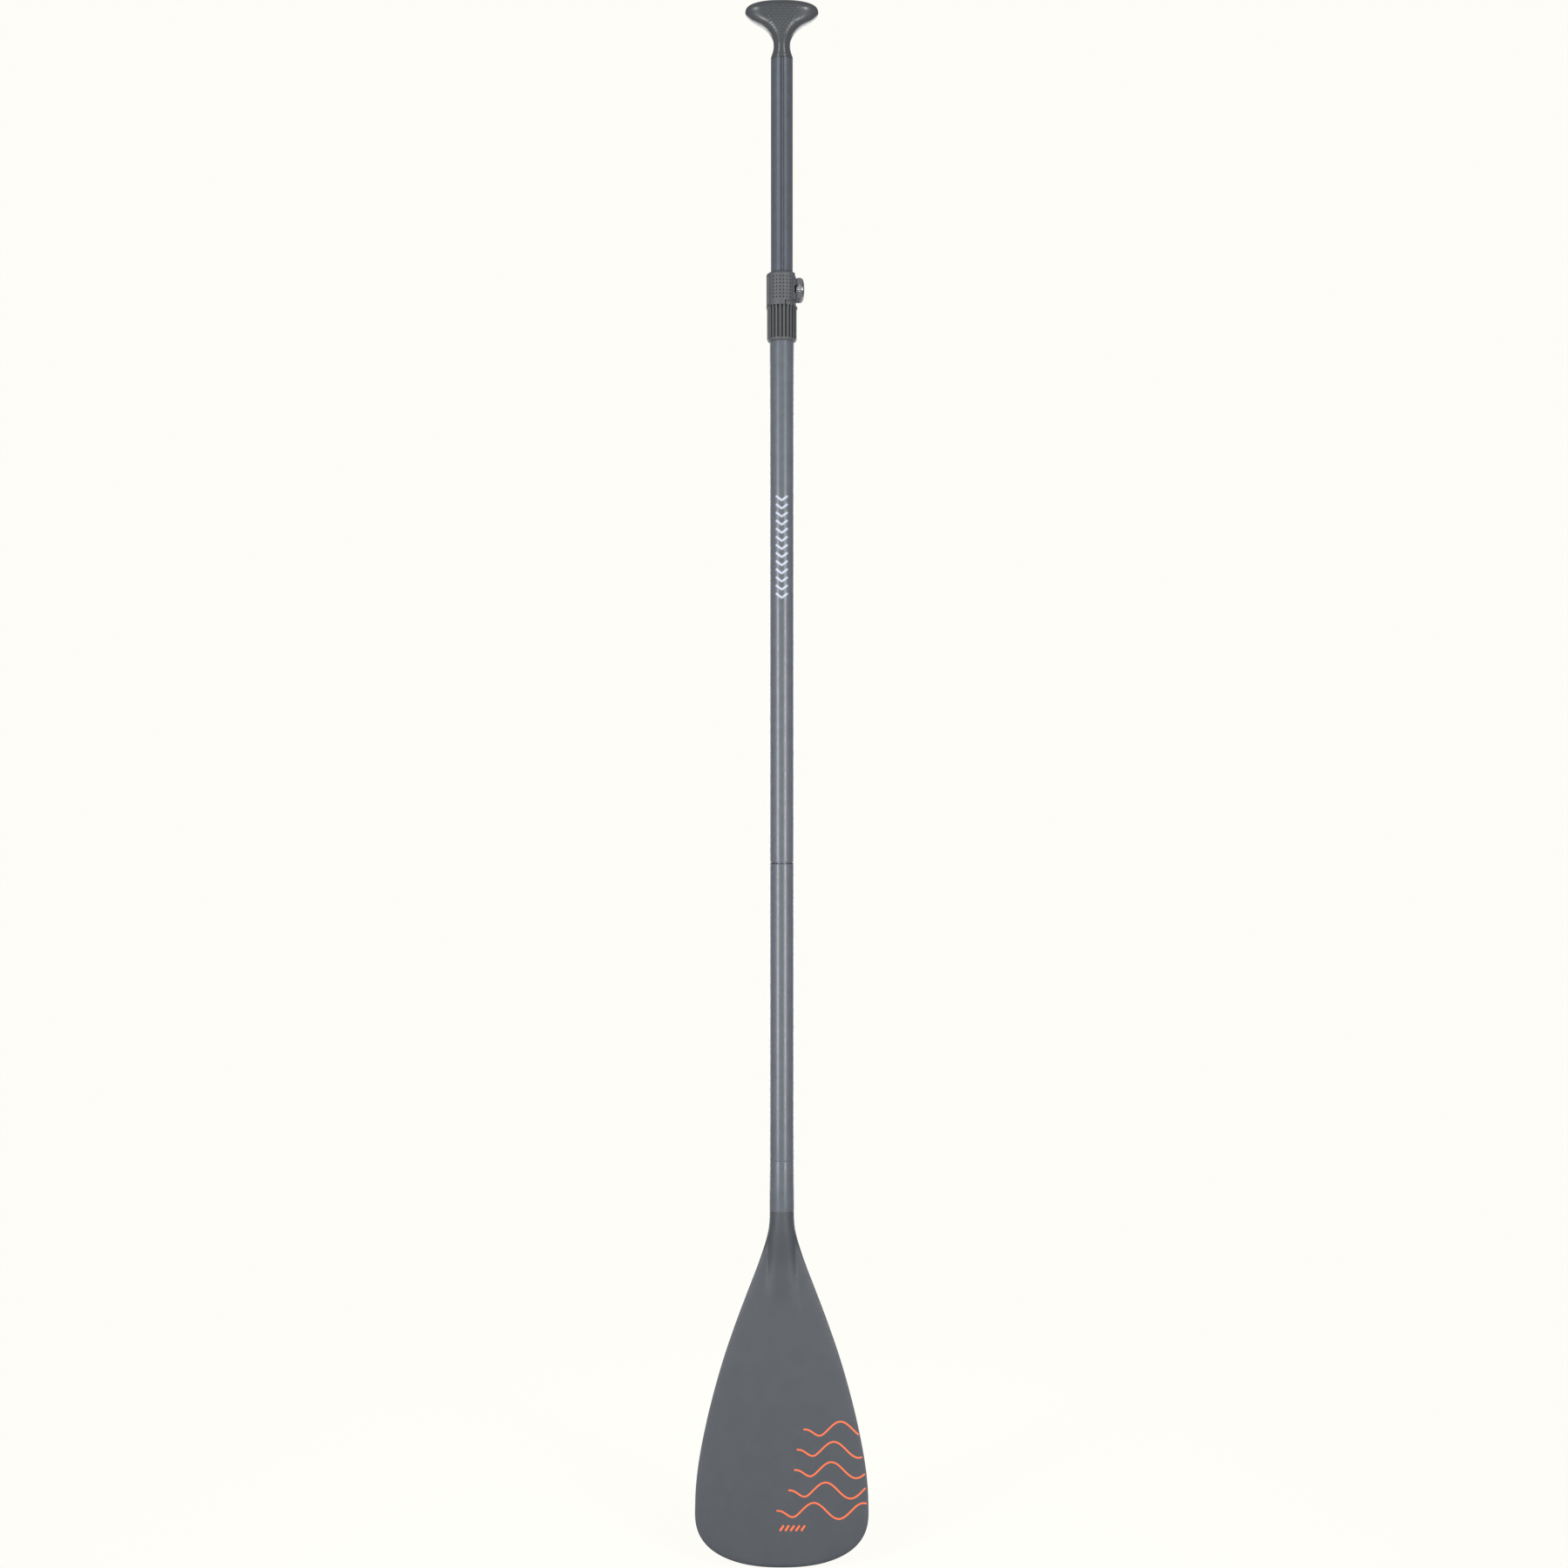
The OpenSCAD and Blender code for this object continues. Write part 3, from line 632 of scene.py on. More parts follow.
def lower_shaft():
    """The lower tube with its crimped ring."""
    r, bore = SHAFT_R, SHAFT_BORE
    return lathe("lower_shaft", rounded([
        (bore, NECK_Z, 0),
        (r, NECK_Z, 0.25),
        (r, RING_Z - 0.8, 0.3),
        (r - 0.4, RING_Z, 0.3),
        (r, RING_Z + 0.8, 0.3),
        (r, JOINT_Z, 0.55),
        (bore, JOINT_Z, 0.3),
    ]))


def mid_shaft():
    """The mid tube with a rounded lead at its lower end and the button's hole."""
    r, bore, low, top = SHAFT_R, SHAFT_BORE, MID_LOW.z, MID_HIGH.z
    tube = lathe("mid_shaft", rounded([
        (bore, low, 0.2),
        (r - 0.9, low, 0.3),
        (r - 0.45, low + 0.6, 0.5),
        (r - 0.12, low + 1.6, 0.8),
        (r, low + 3.2, 1.5),
        (r, SEAT_Z, 0),
        (r - SEAT_IN, SEAT_Z + SEAT_IN, 0),
        (r - SEAT_IN, top, 0.3),
        (bore, top, 0.3),
    ]))
    hole = across(rod("hole", BUTTON_HOLE_R, 8, 20), 0, BUTTON_Z)
    return combine(tube, [hole], "DIFFERENCE")


KEY_TURN = 4
KEY_HALF = 1.9
KEY_DEEP = 1.1
RIB_HALF = 3.2
RIB_WALL = 1.3
END_ROUND = 0.35


def keyed_ring(radius, half, floor_r, corner, sag=0.0):
    """A round section as (x, y) points, with a floor in front at floor_r that is half wide to each side."""
    gap = math.degrees(math.asin(half / radius))
    first = -90 + KEY_TURN + gap
    ring = [polar(radius, first + (360 - 2 * gap) * k / 150, 0)[:2] for k in range(151)]
    floor = [(-half, floor_r + corner), (corner - half, floor_r), (0, floor_r + sag)]
    floor += [(half - corner, floor_r), (half, floor_r + corner)]
    cos, sin = math.cos(math.radians(KEY_TURN)), math.sin(math.radians(KEY_TURN))
    return ring + [(x * cos + r * sin, x * sin - r * cos) for x, r in floor]


def upper_shaft():
    """A drawn tube with a key groove outside and its rib inside."""
    low, top = UPPER_LOW.z, UPPER_HIGH.z
    notch_r = UPPER_R - KEY_DEEP
    outside = keyed_ring(UPPER_R, KEY_HALF, notch_r, END_ROUND, 0.05)
    slimmer = keyed_ring(UPPER_R - END_ROUND, KEY_HALF, notch_r - 0.1, END_ROUND, 0.05)
    inside = keyed_ring(UPPER_BORE, RIB_HALF, notch_r - RIB_WALL, 0.5)
    rows = [
        (inside, low + 0.2), (slimmer, low), (outside, low + END_ROUND),
        (outside, top - END_ROUND), (slimmer, top), (inside, top),
    ]
    tube = skin("upper_shaft", [[(x, y, z) for x, y in ring] for ring, z in rows], True)
    hole = across(rod("hole", RIVET_R, 6, 20, 32), 0, RIVET_Z)
    return combine(tube, [hole], "DIFFERENCE")


def ferrule():
    """The sleeve that sits in the lower shaft and slides into the mid shaft."""
    low, top = FERRULE_LOW.z, FERRULE_HIGH.z
    tube = lathe("ferrule_sleeve", rounded([
        (FERRULE_BORE, low, 0.3),
        (SHAFT_BORE, low, 0.4),
        (SHAFT_BORE, JOINT_Z, 0),
        (SLIDE_R, JOINT_Z, 0),
        (SLIDE_R, top - 1, 0.8),
        (SLIDE_R - 0.6, top, 0.3),
        (FERRULE_BORE, top, 0.2),
    ]))
    hole = across(rod("hole", BUTTON_HOLE_R, 8, 20), 0, BUTTON_Z)
    return combine(tube, [hole], "DIFFERENCE")


def ferrule_cap():
    low, high = node_box("ferrule_cap")
    dish_z = high.z - 0.7
    return lathe("ferrule_end_cap", rounded([
        (0, low.z, 0),
        (FERRULE_BORE, low.z, 0.6),
        (FERRULE_BORE, FERRULE_HIGH.z, 0),
        (high.x, FERRULE_HIGH.z, 0.2),
        (high.x, high.z, 0.9),
        (6, high.z, 0.5),
        (5.4, dish_z, 0.4),
        (0, dish_z, 0),
    ]))


def washer():
    low, high = node_box("joint_washer")
    return lathe("joint_seal", rounded([
        (SLIDE_R, low.z, 0.15), (high.x, low.z, 0.35), (high.x, high.z, 0.35), (SLIDE_R, high.z, 0.15),
    ]))


def snap_button():
    r, foot_r, low, top = BUTTON_R, BUTTON_R + 0.9, BUTTON_LOW.y, BUTTON_HIGH.y
    button = lathe("snap_button_dome", rounded([
        (0, low, 0), (foot_r, low, 0.3), (foot_r, low + 1.2, 0.3), (r, low + 1.2, 0.2), (r, top - 0.9, 0.5),
        (r * 0.8, top - 0.32, 0.8), (r * 0.45, top - 0.05, 1), (0, top, 0),
    ]), 64)
    return across(button, 0, BUTTON_Z)


def paint_groove_shade():
    """Paints shade on the key groove's walls, on the front, darkening the coat there."""
    m = UPPER_COAT
    turn = math.radians(KEY_TURN)
    x, y, _ = m.axes()
    side = m.math("ADD", m.math("MULTIPLY", x, math.cos(turn)), m.math("MULTIPLY", y, math.sin(turn)))
    far = m.math("ABSOLUTE", m.math("SUBTRACT", m.math("ABSOLUTE", side), (KEY_HALF - 0.15) * MM))
    wall = m.span(far, 0.25 * MM, 0.6 * MM, 1.0, 0.0)
    front = m.math("LESS_THAN", y, -UPPER_BORE * MM * 0.9)
    m.shade(m.all_of(wall, front), 0.75)


# Painted shade on the upper tube's key groove walls.
paint_groove_shade()
place(lower_shaft(), SHAFT_COAT.made, "blade_section", "shaft_coat", "lower_tube")
place(mid_shaft(), SHAFT_COAT.made, "mid_section", "shaft_coat", "mid_tube")
place(upper_shaft(), UPPER_COAT.made, "upper_section", "upper_coat", "upper_tube")
place(ferrule(), BARE_ALLOY.made, "blade_section", "bare_alloy", "ferrule")
place(ferrule_cap(), LINER_NYLON.made, "blade_section", "liner_nylon", "ferrule_cap")
place(washer(), SEAL_RUBBER.made, "blade_section", "seal_rubber", "joint_washer")
place(snap_button(), STEEL.made, "snap_button", "steel", "snap_button")


# ---------- clamp collar ----------

SLEEVE_R = SHAFT_R + 3.15
PANEL_R = SLEEVE_R + 0.65
CORE_R = SHAFT_R + 1.4
SLEEVE_HI = CLAMP_Z + 36.8
LIP_LO = CLAMP_Z + 38.8
LIP_HI = CLAMP_Z + 41.3
LEVER_IN = CORE_R + 0.3
LEVER_OUT = PANEL_R + 0.1
SHELF_HI = LIP_HI + 5.2
LEVER_LO = LIP_HI + 0.3
LEVER_TOP = CLAMP_TOP - 0.8
CROWN = 2.6
PANEL_FROM = 22
PANEL_TO = 202
EDGE_TURN = 1.2
FLUTES = [-134 + 15 * k for k in range(17)]
FLUTE_HALF = 1.25
FLUTE_DEEP = 1.89
FLUTE_LO = 3.2
EAR_FRONT = 0.49 * CORE_R
EAR_BACK = 9
NOSE_R = 31
NOSE_EDGE = 4.5
SHELF_FROM = -75
SHELF_TO = -38
ROW_GAP = 0.02
EAR_X = CAM_X + CAM_R + 0.2
EAR_HALF = CAM_HALF + 0.3
SLIT_HALF = 1.5


def flute_floor(angle):
    """The radius of the flutes' round floors at an angle, and how far the place is inside a flute."""
    gap = min(abs((angle - f + 180) % 360 - 180) for f in FLUTES)
    off = gap * math.pi / 180 * SLEEVE_R
    bend = math.sqrt(max(FLUTE_HALF ** 2 - off ** 2, 0))
    return SLEEVE_R - FLUTE_DEEP + FLUTE_HALF - bend, ease((FLUTE_HALF + 0.12 - off) / 0.34)


def collar_radius(angle, z):
    """The collar's outer radius at a place."""
    a = angle % 360
    up = z - CLAMP_Z
    if z <= SLEEVE_HI:
        r = SLEEVE_R - 1.7 * max(1 - up / 3.6, 0) ** 2.6
    elif z < LIP_LO:
        r = SLEEVE_R + (PANEL_R - SLEEVE_R) * ease((z - SLEEVE_HI) / (LIP_LO - SLEEVE_HI))
    elif z < LIP_HI:
        r = PANEL_R + 0.32 * math.sin(math.pi * (z - LIP_LO) / (LIP_HI - LIP_LO)) ** 0.5
    else:
        on_panel = ease((a - PANEL_FROM) / EDGE_TURN) * ease((PANEL_TO - a) / EDGE_TURN)
        down = max(z - LEVER_TOP + CROWN, 0) / CROWN
        panel = PANEL_R - 1.6 * down ** 2.2 if z <= LEVER_TOP + 1e-6 else CORE_R
        on_shelf = ease((a - 360 - SHELF_FROM) / EDGE_TURN) * ease((SHELF_TO - a + 360) / EDGE_TURN)
        shelf = PANEL_R - 0.3 * max(1 - (SHELF_HI - z) / 0.4, 0) if z <= SHELF_HI + 1e-6 else CORE_R
        r = CORE_R + max(panel - CORE_R, 0) * on_panel + max(shelf - CORE_R, 0) * on_shelf
    if z < LIP_HI:
        floor_r, inside = flute_floor(angle)
        r += (min(floor_r, r) - r) * inside * ease((up - FLUTE_LO + 0.2) / 0.4)
    return r


def collar_heights():
    """Heights of the collar's outer rows, close together where its shape changes."""
    foot = [0, 0.15, 0.35, 0.6, 0.9, 1.3, 1.8, 2.4, 3, 3.1, 3.2, 3.3, 3.4, 3.6, 4.4, 6.6]
    rows = [CLAMP_Z + z for z in foot]
    rows += between(rows[-1], SLEEVE_HI, 8) + between(SLEEVE_HI, LIP_LO, 5)
    rows += between(LIP_LO, LIP_HI, 10)[:-1] + [LIP_HI - ROW_GAP, LIP_HI]
    rows += [SHELF_HI - z for z in (1.5, 0.4, 0.25, 0.1, 0)] + [SHELF_HI + ROW_GAP]
    rows += between(SHELF_HI, LEVER_TOP - CROWN, 5)
    return rows + [LEVER_TOP - z for z in (2.1, 1.6, 1.1, 0.7, 0.4, 0.15, 0)] + [LEVER_TOP + ROW_GAP]


def collar_angles():
    """Angles of the collar's columns, close together at flute edges, panel ends and shelf ends."""
    half = [0.7, 1.4, 2.1, 2.7, 3.1, 3.4, 3.6, 3.8, 4, 4.2, 4.4, 4.6]
    angles = [3 * k for k in range(120)]
    for flute in FLUTES:
        angles = [a for a in angles if abs((a - flute + 180) % 360 - 180) > 5]
        angles += [(flute + side * d) % 360 for d in half for side in (-1, 1)] + [flute % 360]
    for end in (PANEL_FROM, PANEL_TO - EDGE_TURN, SHELF_FROM + 360, SHELF_TO + 360 - EDGE_TURN):
        angles += [end + d for d in (0, 0.3, 0.6, 0.9, EDGE_TURN)]
    return sorted(set(round(a, 3) for a in angles))


def nose_reach(z, half):
    """How far right the cam end's outline reaches at height z from its middle."""
    centre = EAR_X - NOSE_R
    fillet_z = half - NOSE_EDGE
    fillet_x = centre + math.sqrt((NOSE_R - NOSE_EDGE) ** 2 - fillet_z ** 2)
    touch = fillet_z * NOSE_R / (NOSE_R - NOSE_EDGE)
    if abs(z) < touch:
        return centre + math.sqrt(NOSE_R ** 2 - z ** 2)
    return fillet_x + math.sqrt(max(NOSE_EDGE ** 2 - (abs(z) - fillet_z) ** 2, 0))


def nose(name, y0, y1, half):
    """The cam end's outline seen from the front, as a block from y0 to y1."""
    heights = [half * math.sin(math.radians(k * 3)) for k in range(-30, 31)]
    outline = [(0, -half)] + [(nose_reach(z, half), z) for z in heights] + [(0, half)]
    return skin(name, [[(x, y, CAM_Z + z) for x, z in outline] for y in (y0, y1)])


def collar():
    """The sleeve, lip, panel and shelf as one turned skin, with the ears joined on and the slit cut."""
    heights, top = collar_heights(), CLAMP_TOP
    bore, liner_bore, mouth, mouth_z = SHAFT_R - SEAT_IN, -LINER_LOW.x, UPPER_R + 0.4, CLAMP_TOP - 2.6
    inner = [
        (CORE_R, top - 0.8), (CORE_R - 0.25, top - 0.3), (CORE_R - 0.8, top),
        (mouth + 0.4, top), (mouth, top - 0.4), (mouth, mouth_z),
        (liner_bore, mouth_z), (liner_bore, MID_HIGH.z), (bore, MID_HIGH.z),
        (bore, SEAT_Z + SEAT_IN), (SHAFT_R, SEAT_Z), (SHAFT_R, CLAMP_Z),
    ]
    rows = []
    for a in collar_angles():
        outer = [polar(collar_radius(a, z), a, z) for z in heights]
        rows.append(outer + [polar(r, a, z) for r, z in inner])
    piece = skin("collar_body", rows, True)
    ears = soften(nose("ears", -EAR_FRONT, EAR_BACK, EAR_HALF), 0.9, 4, 50)
    hollow = rod("hollow", CORE_R - 0.7, CLAMP_Z, top + 5, 96)
    combine(ears, [hollow], "DIFFERENCE")
    combine(piece, [ears], "UNION")
    slit = block("slit", (UPPER_R - 2, -SLIT_HALF, LIP_HI + 0.4), (EAR_X + 5, SLIT_HALF, top + 5))
    bolt_hole = across(rod("bolt_hole", BOLT_HOLE_R, -20, 20, 32), CAM_X, CAM_Z)
    pocket = across(rod("pocket", NUT_R, NUT_LOW.y, 20, 6), CAM_X, CAM_Z)
    return combine(piece, [slit, bolt_hole, pocket], "DIFFERENCE")


def paint_flute_shade():
    """Paints shade in the flutes' floors, darkening them."""
    m = CLAMP_NYLON
    x, y, z = m.axes()
    radius = m.length(x, y)
    low = m.span(radius, (SLEEVE_R - 1.1) * MM, (SLEEVE_R - 0.35) * MM, 1.0, 0.0)
    outside = m.span(radius, SHAFT_R * MM, (SHAFT_R + 0.3) * MM)
    above = m.span(z, (CLAMP_Z + FLUTE_LO - 0.2) * MM, (CLAMP_Z + FLUTE_LO + 0.4) * MM)
    below = m.span(z, (LIP_HI - 0.2) * MM, LIP_HI * MM, 1.0, 0.0)
    m.shade(m.all_of(low, outside, above, below), 0.72)


# Painted shade in the collar flutes' floors.
paint_flute_shade()
place(collar(), CLAMP_NYLON.made, "mid_section", "clamp_nylon", "clamp_collar", sharp=38)


# ---------- clamp lever ----------

LEVER_FROM = -154
LEVER_TO = -35
TIP_SWEEP = 8
STEP_X = 3.8
DOT_PITCH = 4.1
DOT_R = 0.8
DOT_DEEP = 1.0
DOT_Z = CAM_Z + 2.3
DOT_COLUMNS = 6
DOT_ROWS = 7
WEB_Y = CAM_Y + CAM_R - 0.15
LOBE_EDGE = 0.6
LOBE_BLEND = 0.2
BARREL_GAP = 0.05
SLOT_R = math.hypot(HEAD_R, CAM_R) + 0.8
SLOT_HALF = HEAD_R + 1.1
SHANK_HALF = 2.35


def dot_cut(x, z):
    """How deep the dimples are at a place on the lever's face."""
    column = x / DOT_PITCH + (DOT_COLUMNS - 1) / 2
    row = (z - DOT_Z) / DOT_PITCH + (DOT_ROWS - 1) / 2
    near_column = min(max(round(column), 0), DOT_COLUMNS - 1)
    near_row = min(max(round(row), 0), DOT_ROWS - 1)
    far = math.hypot(column - near_column, row - near_row) * DOT_PITCH / DOT_R
    return DOT_DEEP * ease((1.12 - far) / 0.3)


def lever_point(angle, z):
    """The lever's outer face, with its rounded border, tip bump and dimples."""
    x = LEVER_OUT * math.cos(math.radians(angle))
    top = LEVER_TOP - z
    r = LEVER_OUT
    r -= 1.6 * max(1 - top / 2.8, 0) ** 2.4
    r -= 0.3 * max(1 - (z - LEVER_LO) / 0.5, 0) ** 2
    side = min(angle - LEVER_FROM, LEVER_TO - angle) * math.pi / 180 * LEVER_OUT
    r -= 0.8 * max(1 - side / 1.2, 0) ** 2
    bump = ease((LEVER_FROM + TIP_SWEEP - angle) / 2.5) * ease((angle - LEVER_FROM) / 2)
    bump *= ease((z - LEVER_LO - 1.4) / 1.6) * ease((LEVER_TOP - 3.4 - z) / 1.6)
    return polar(r + bump - dot_cut(x, z), angle, z)


def lobes():
    """The lever's round end, cut to the cam end's outline."""
    rows = []
    for k in range(-60, 61):
        z = CAM_HALF * math.sin(math.radians(k * 1.5))
        end = max((abs(z) - CAM_HALF + LOBE_EDGE) / LOBE_EDGE, 0)
        r = CAM_R - LOBE_EDGE * (1 - math.sqrt(max(1 - end ** 2, 0)))
        soft_from = nose_reach(z, CAM_HALF) - CAM_X - LOBE_BLEND
        ring = []
        for i in range(96):
            x, y, _ = polar(r, 3.75 * i, 0)
            if x > soft_from:
                x = soft_from + LOBE_BLEND * math.tanh((x - soft_from) / LOBE_BLEND)
            ring.append((CAM_X + x, CAM_Y + y, CAM_Z + z))
        rows.append(ring)
    return skin("lobes", rows)


def slot_cutters():
    """What the lever's end is hollowed by: the barrel's bore, the bolt's slots and the head's window."""
    bore = rod("bore", BARREL_R + BARREL_GAP, -CAM_HALF - 5, CAM_HALF + 5, 64)
    shank_slot = rod("shank_slot", SLOT_R, -SHANK_HALF, SHANK_HALF, 96)
    half_slot = block("half_slot", (-SLOT_R, -SLOT_R - 1, -SLOT_HALF), (0.1, SLOT_R + 1, SLOT_HALF))
    window = across(rod("window", SLOT_HALF, -SLOT_R - 1, 0.2, 64), 0, 0)
    return [to_cam(cutter) for cutter in (bore, shank_slot, half_slot, window)]


def near_dots(low, high, step, coarse, places, reach):
    """Places from low to high, a step apart near the given places and coarse elsewhere."""
    made, at = [low], low
    while at < high:
        close = any(abs(at + coarse / 2 - p) < reach + coarse / 2 for p in places)
        at += step if close else coarse
        made.append(min(at, high))
    return made


def lever():
    """The dimpled shell with its web and round end joined on, hollowed for the barrel and the bolt."""
    dots_x = [(c - (DOT_COLUMNS - 1) / 2) * DOT_PITCH for c in range(DOT_COLUMNS)]
    fine_a = [-math.degrees(math.acos(x / LEVER_OUT)) for x in dots_x]
    fine_a += [LEVER_FROM + 5, LEVER_FROM, LEVER_TO]
    fine_z = [DOT_Z + (r - (DOT_ROWS - 1) / 2) * DOT_PITCH for r in range(DOT_ROWS)]
    fine_z += [LEVER_LO + 1, LEVER_TOP - 1.2, LEVER_TOP]
    angles = near_dots(LEVER_FROM, LEVER_TO, 0.6, 1.6, fine_a, 3)
    heights = near_dots(LEVER_LO, LEVER_TOP, 0.2, 0.6, fine_z, 0.95)
    inner = [(LEVER_IN + 0.3, LEVER_TOP), (LEVER_IN, LEVER_TOP - 0.4)]
    inner += [(LEVER_IN, LEVER_LO + 0.3), (LEVER_IN + 0.3, LEVER_LO)]
    rows = [[lever_point(a, z) for z in heights] + [polar(r, a, z) for r, z in inner] for a in angles]
    piece = skin("lever_body", rows)
    web_x = math.sqrt(LEVER_IN ** 2 - WEB_Y ** 2) + 0.1
    half = CAM_HALF - LOBE_EDGE
    web = soften(block("web", (web_x, WEB_Y - 4, CAM_Z - half), (CAM_X - 1.5, WEB_Y, CAM_Z + half)), 0.5, 3)
    combine(piece, [web, lobes()], "UNION")
    step_end = LEVER_OUT * math.cos(math.radians(LEVER_TO)) + 0.4
    step = block("step", (STEP_X, -LEVER_OUT - 1, LEVER_LO - 1), (step_end, 0, SHELF_HI + 0.3))
    return combine(piece, slot_cutters() + [step], "DIFFERENCE")


def paint_dimple_shade():
    """Paints shade in the dimples' floors on the front, darkening them."""
    m = LEVER_NYLON
    x, y, z = m.axes()
    step = DOT_PITCH * MM
    across_dots = m.math("DIVIDE", x, step)
    up_dots = m.math("ADD", m.math("DIVIDE", z, step), 0.5 - DOT_Z / DOT_PITCH)
    off_x = m.math("SUBTRACT", m.math("FRACT", across_dots), 0.5)
    off_z = m.math("SUBTRACT", m.math("FRACT", up_dots), 0.5)
    near = m.span(m.length(off_x, off_z), 0.7 * DOT_R / DOT_PITCH, 1.15 * DOT_R / DOT_PITCH, 1.0, 0.0)
    in_x = m.math("LESS_THAN", m.math("ABSOLUTE", x), 2.8 * step)
    in_z = m.math("LESS_THAN", m.math("ABSOLUTE", m.math("SUBTRACT", z, DOT_Z * MM)), 3.4 * step)
    front = m.math("LESS_THAN", y, -CORE_R * MM * 0.6)
    m.shade(m.all_of(near, in_x, in_z, front), 0.72)


# Painted shade in the lever dimples' floors.
paint_dimple_shade()
place(lever(), LEVER_NYLON.made, "clamp_lever", "lever_nylon", "clamp_lever", sharp=40)


# ---------- cam barrel, bolt, nut and rivet ----------

HEAD_DEEP = 3.5
SOCKET_R = 1.9
THREAD_R = 1.7
THREAD_PITCH = 0.7


def cam_barrel():
    """The lever's pin, with the bolt's hole and its head's seat."""
    r, half = BARREL_R, BARREL_HALF
    outline = rounded([(0, -half, 0), (r, -half, 0.4), (r, half, 0.4), (0, half, 0)])
    barrel = to_cam(lathe("barrel", outline, 64))
    shank = across(rod("shank", BOLT_R, CAM_Y - 5, CAM_Y + 5, 32), CAM_X, CAM_Z)
    seat = across(rod("seat", HEAD_R + 0.2, CAM_Y - 6, CAM_Y - 1.4, 48), CAM_X, CAM_Z)
    return combine(barrel, [shank, seat], "DIFFERENCE")


def tension_bolt():
    """A socket cap bolt with a rolled thread."""
    low, end = BOLT_LOW.y, BOLT_HIGH.y
    under_head = low + HEAD_DEEP
    corners = [(0, low, 0), (HEAD_R - 0.4, low, 0.3), (HEAD_R, low + 0.45, 0.4)]
    corners += [(HEAD_R, under_head, 0.15), (BOLT_R, under_head, 0.2)]
    thread = low + 9
    while thread < end - 1:
        corners += [(BOLT_R, thread, 0), (THREAD_R, thread + THREAD_PITCH / 2, 0)]
        thread += THREAD_PITCH
    corners += [(BOLT_R, end - 0.6, 0), (BOLT_R - 0.4, end, 0.1), (0, end, 0)]
    bolt = lathe("socket_bolt", rounded(corners, 3), 72)
    socket = rod("socket", SOCKET_R, low - 1, low + 2, 6)
    cup_z = low + 0.35
    cup = lathe("cup", [(0, low - 1), (SOCKET_R + 0.8, low - 1), (SOCKET_R, cup_z), (0, cup_z)], 48)
    combine(bolt, [socket, cup], "DIFFERENCE")
    return across(bolt, CAM_X, CAM_Z)


def tension_nut():
    low, high = NUT_LOW.y, NUT_HIGH.y
    nut = soften(rod("hex_nut", NUT_R - 0.02, low, high, 6), 0.25, 2)
    hole = rod("hole", BOLT_R, low - 1, high + 1, 48)
    combine(nut, [hole], "DIFFERENCE")
    return across(nut, CAM_X, CAM_Z)


def cam_pad():
    low, high = node_box("cam_pad")
    pad = block("cam_plate", low, high)
    hole = across(rod("hole", BOLT_HOLE_R, low.y - 1, high.y + 1, 32), CAM_X, CAM_Z)
    return soften(combine(pad, [hole], "DIFFERENCE"), 0.15, 2)


def grip_rivet():
    low, high = RIVET_LOW.y, RIVET_HIGH.y
    rivet = lathe("rivet", rounded([
        (0, low, 0), (RIVET_R, low, 0.2), (RIVET_R, UPPER_R, 0), (3, UPPER_R, 0.15),
        (2.9, UPPER_R + 0.3, 0.3), (1.7, high - 0.12, 1), (0, high, 0),
    ]), 64)
    return across(rivet, 0, RIVET_Z)


place(cam_barrel(), STEEL.made, "mid_section", "steel", "cam_barrel")
place(tension_bolt(), STEEL.made, "mid_section", "steel", "tension_bolt")
place(tension_nut(), STEEL.made, "mid_section", "steel", "tension_nut")
place(cam_pad(), STEEL.made, "mid_section", "steel", "cam_pad")
place(grip_rivet(), STEEL.made, "upper_section", "steel", "grip_rivet")


# ---------- palm grip ----------

GRIP_H = GRIP_HIGH.z - UPPER_HIGH.z
GRIP_SPIGOT = 45
# Shares of grip height down to which the crown is a dome, from the front and from the side
SIDE_DOME = 0.215
DEPTH_DOME = 0.22
# Share of grip height from the top, share of greatest half width
GRIP_SIDE = [
    (SIDE_DOME, 1), (0.255, 0.971), (0.281, 0.939), (0.311, 0.892), (0.341, 0.833),
    (0.37, 0.762), (0.4, 0.673), (0.429, 0.583), (0.459, 0.506), (0.489, 0.446),
    (0.518, 0.396), (0.548, 0.356), (0.578, 0.318), (0.637, 0.267), (0.696, 0.233),
    (0.755, 0.224), (0.814, 0.227), (0.874, 0.248), (0.933, 0.278), (1, 0.3),
]
# Share of grip height from the top, share of half the crown's thickness
GRIP_DEPTH = [
    (DEPTH_DOME, 1), (0.36, 0.975), (0.5, 0.87), (0.64, 0.765), (0.76, 0.725), (0.87, 0.76), (1, 0.8125),
]
PIP_PITCH = 4.3
PIP_ROW = 3.2
PIP_R = 0.95
PIP_HIGH = 0.26
SEAM_HIGH = 0.12


def grip_size(u):
    """The grip's half width and half depth at a share u of its height from the top."""
    sizes = []
    for full, end, table in ((GRIP_HIGH.x, SIDE_DOME, GRIP_SIDE), (GRIP_HIGH.y, DEPTH_DOME, GRIP_DEPTH)):
        dome = (1 - max(1 - u / end, 0) ** 2.9) ** 0.47
        sizes.append(full * (dome if u < end else through(table, u)))
    return sizes


def pip_rise(x, z):
    """How high the moulded grip pips are on the crown's front and back."""
    down = GRIP_HIGH.z - z
    row = round(down / PIP_ROW)
    shift = PIP_PITCH / 2 * (row % 2)
    column = round((x - shift) / PIP_PITCH)
    centre_x, centre_z = column * PIP_PITCH + shift, row * PIP_ROW
    reach = 19.5 - max(centre_z - 20, 0) * 0.46
    if abs(centre_x) > reach or not 6 < centre_z < 47:
        return 0
    far = math.hypot(x - centre_x, down - centre_z) / PIP_R
    return PIP_HIGH * ease((1.1 - far) / 0.7)


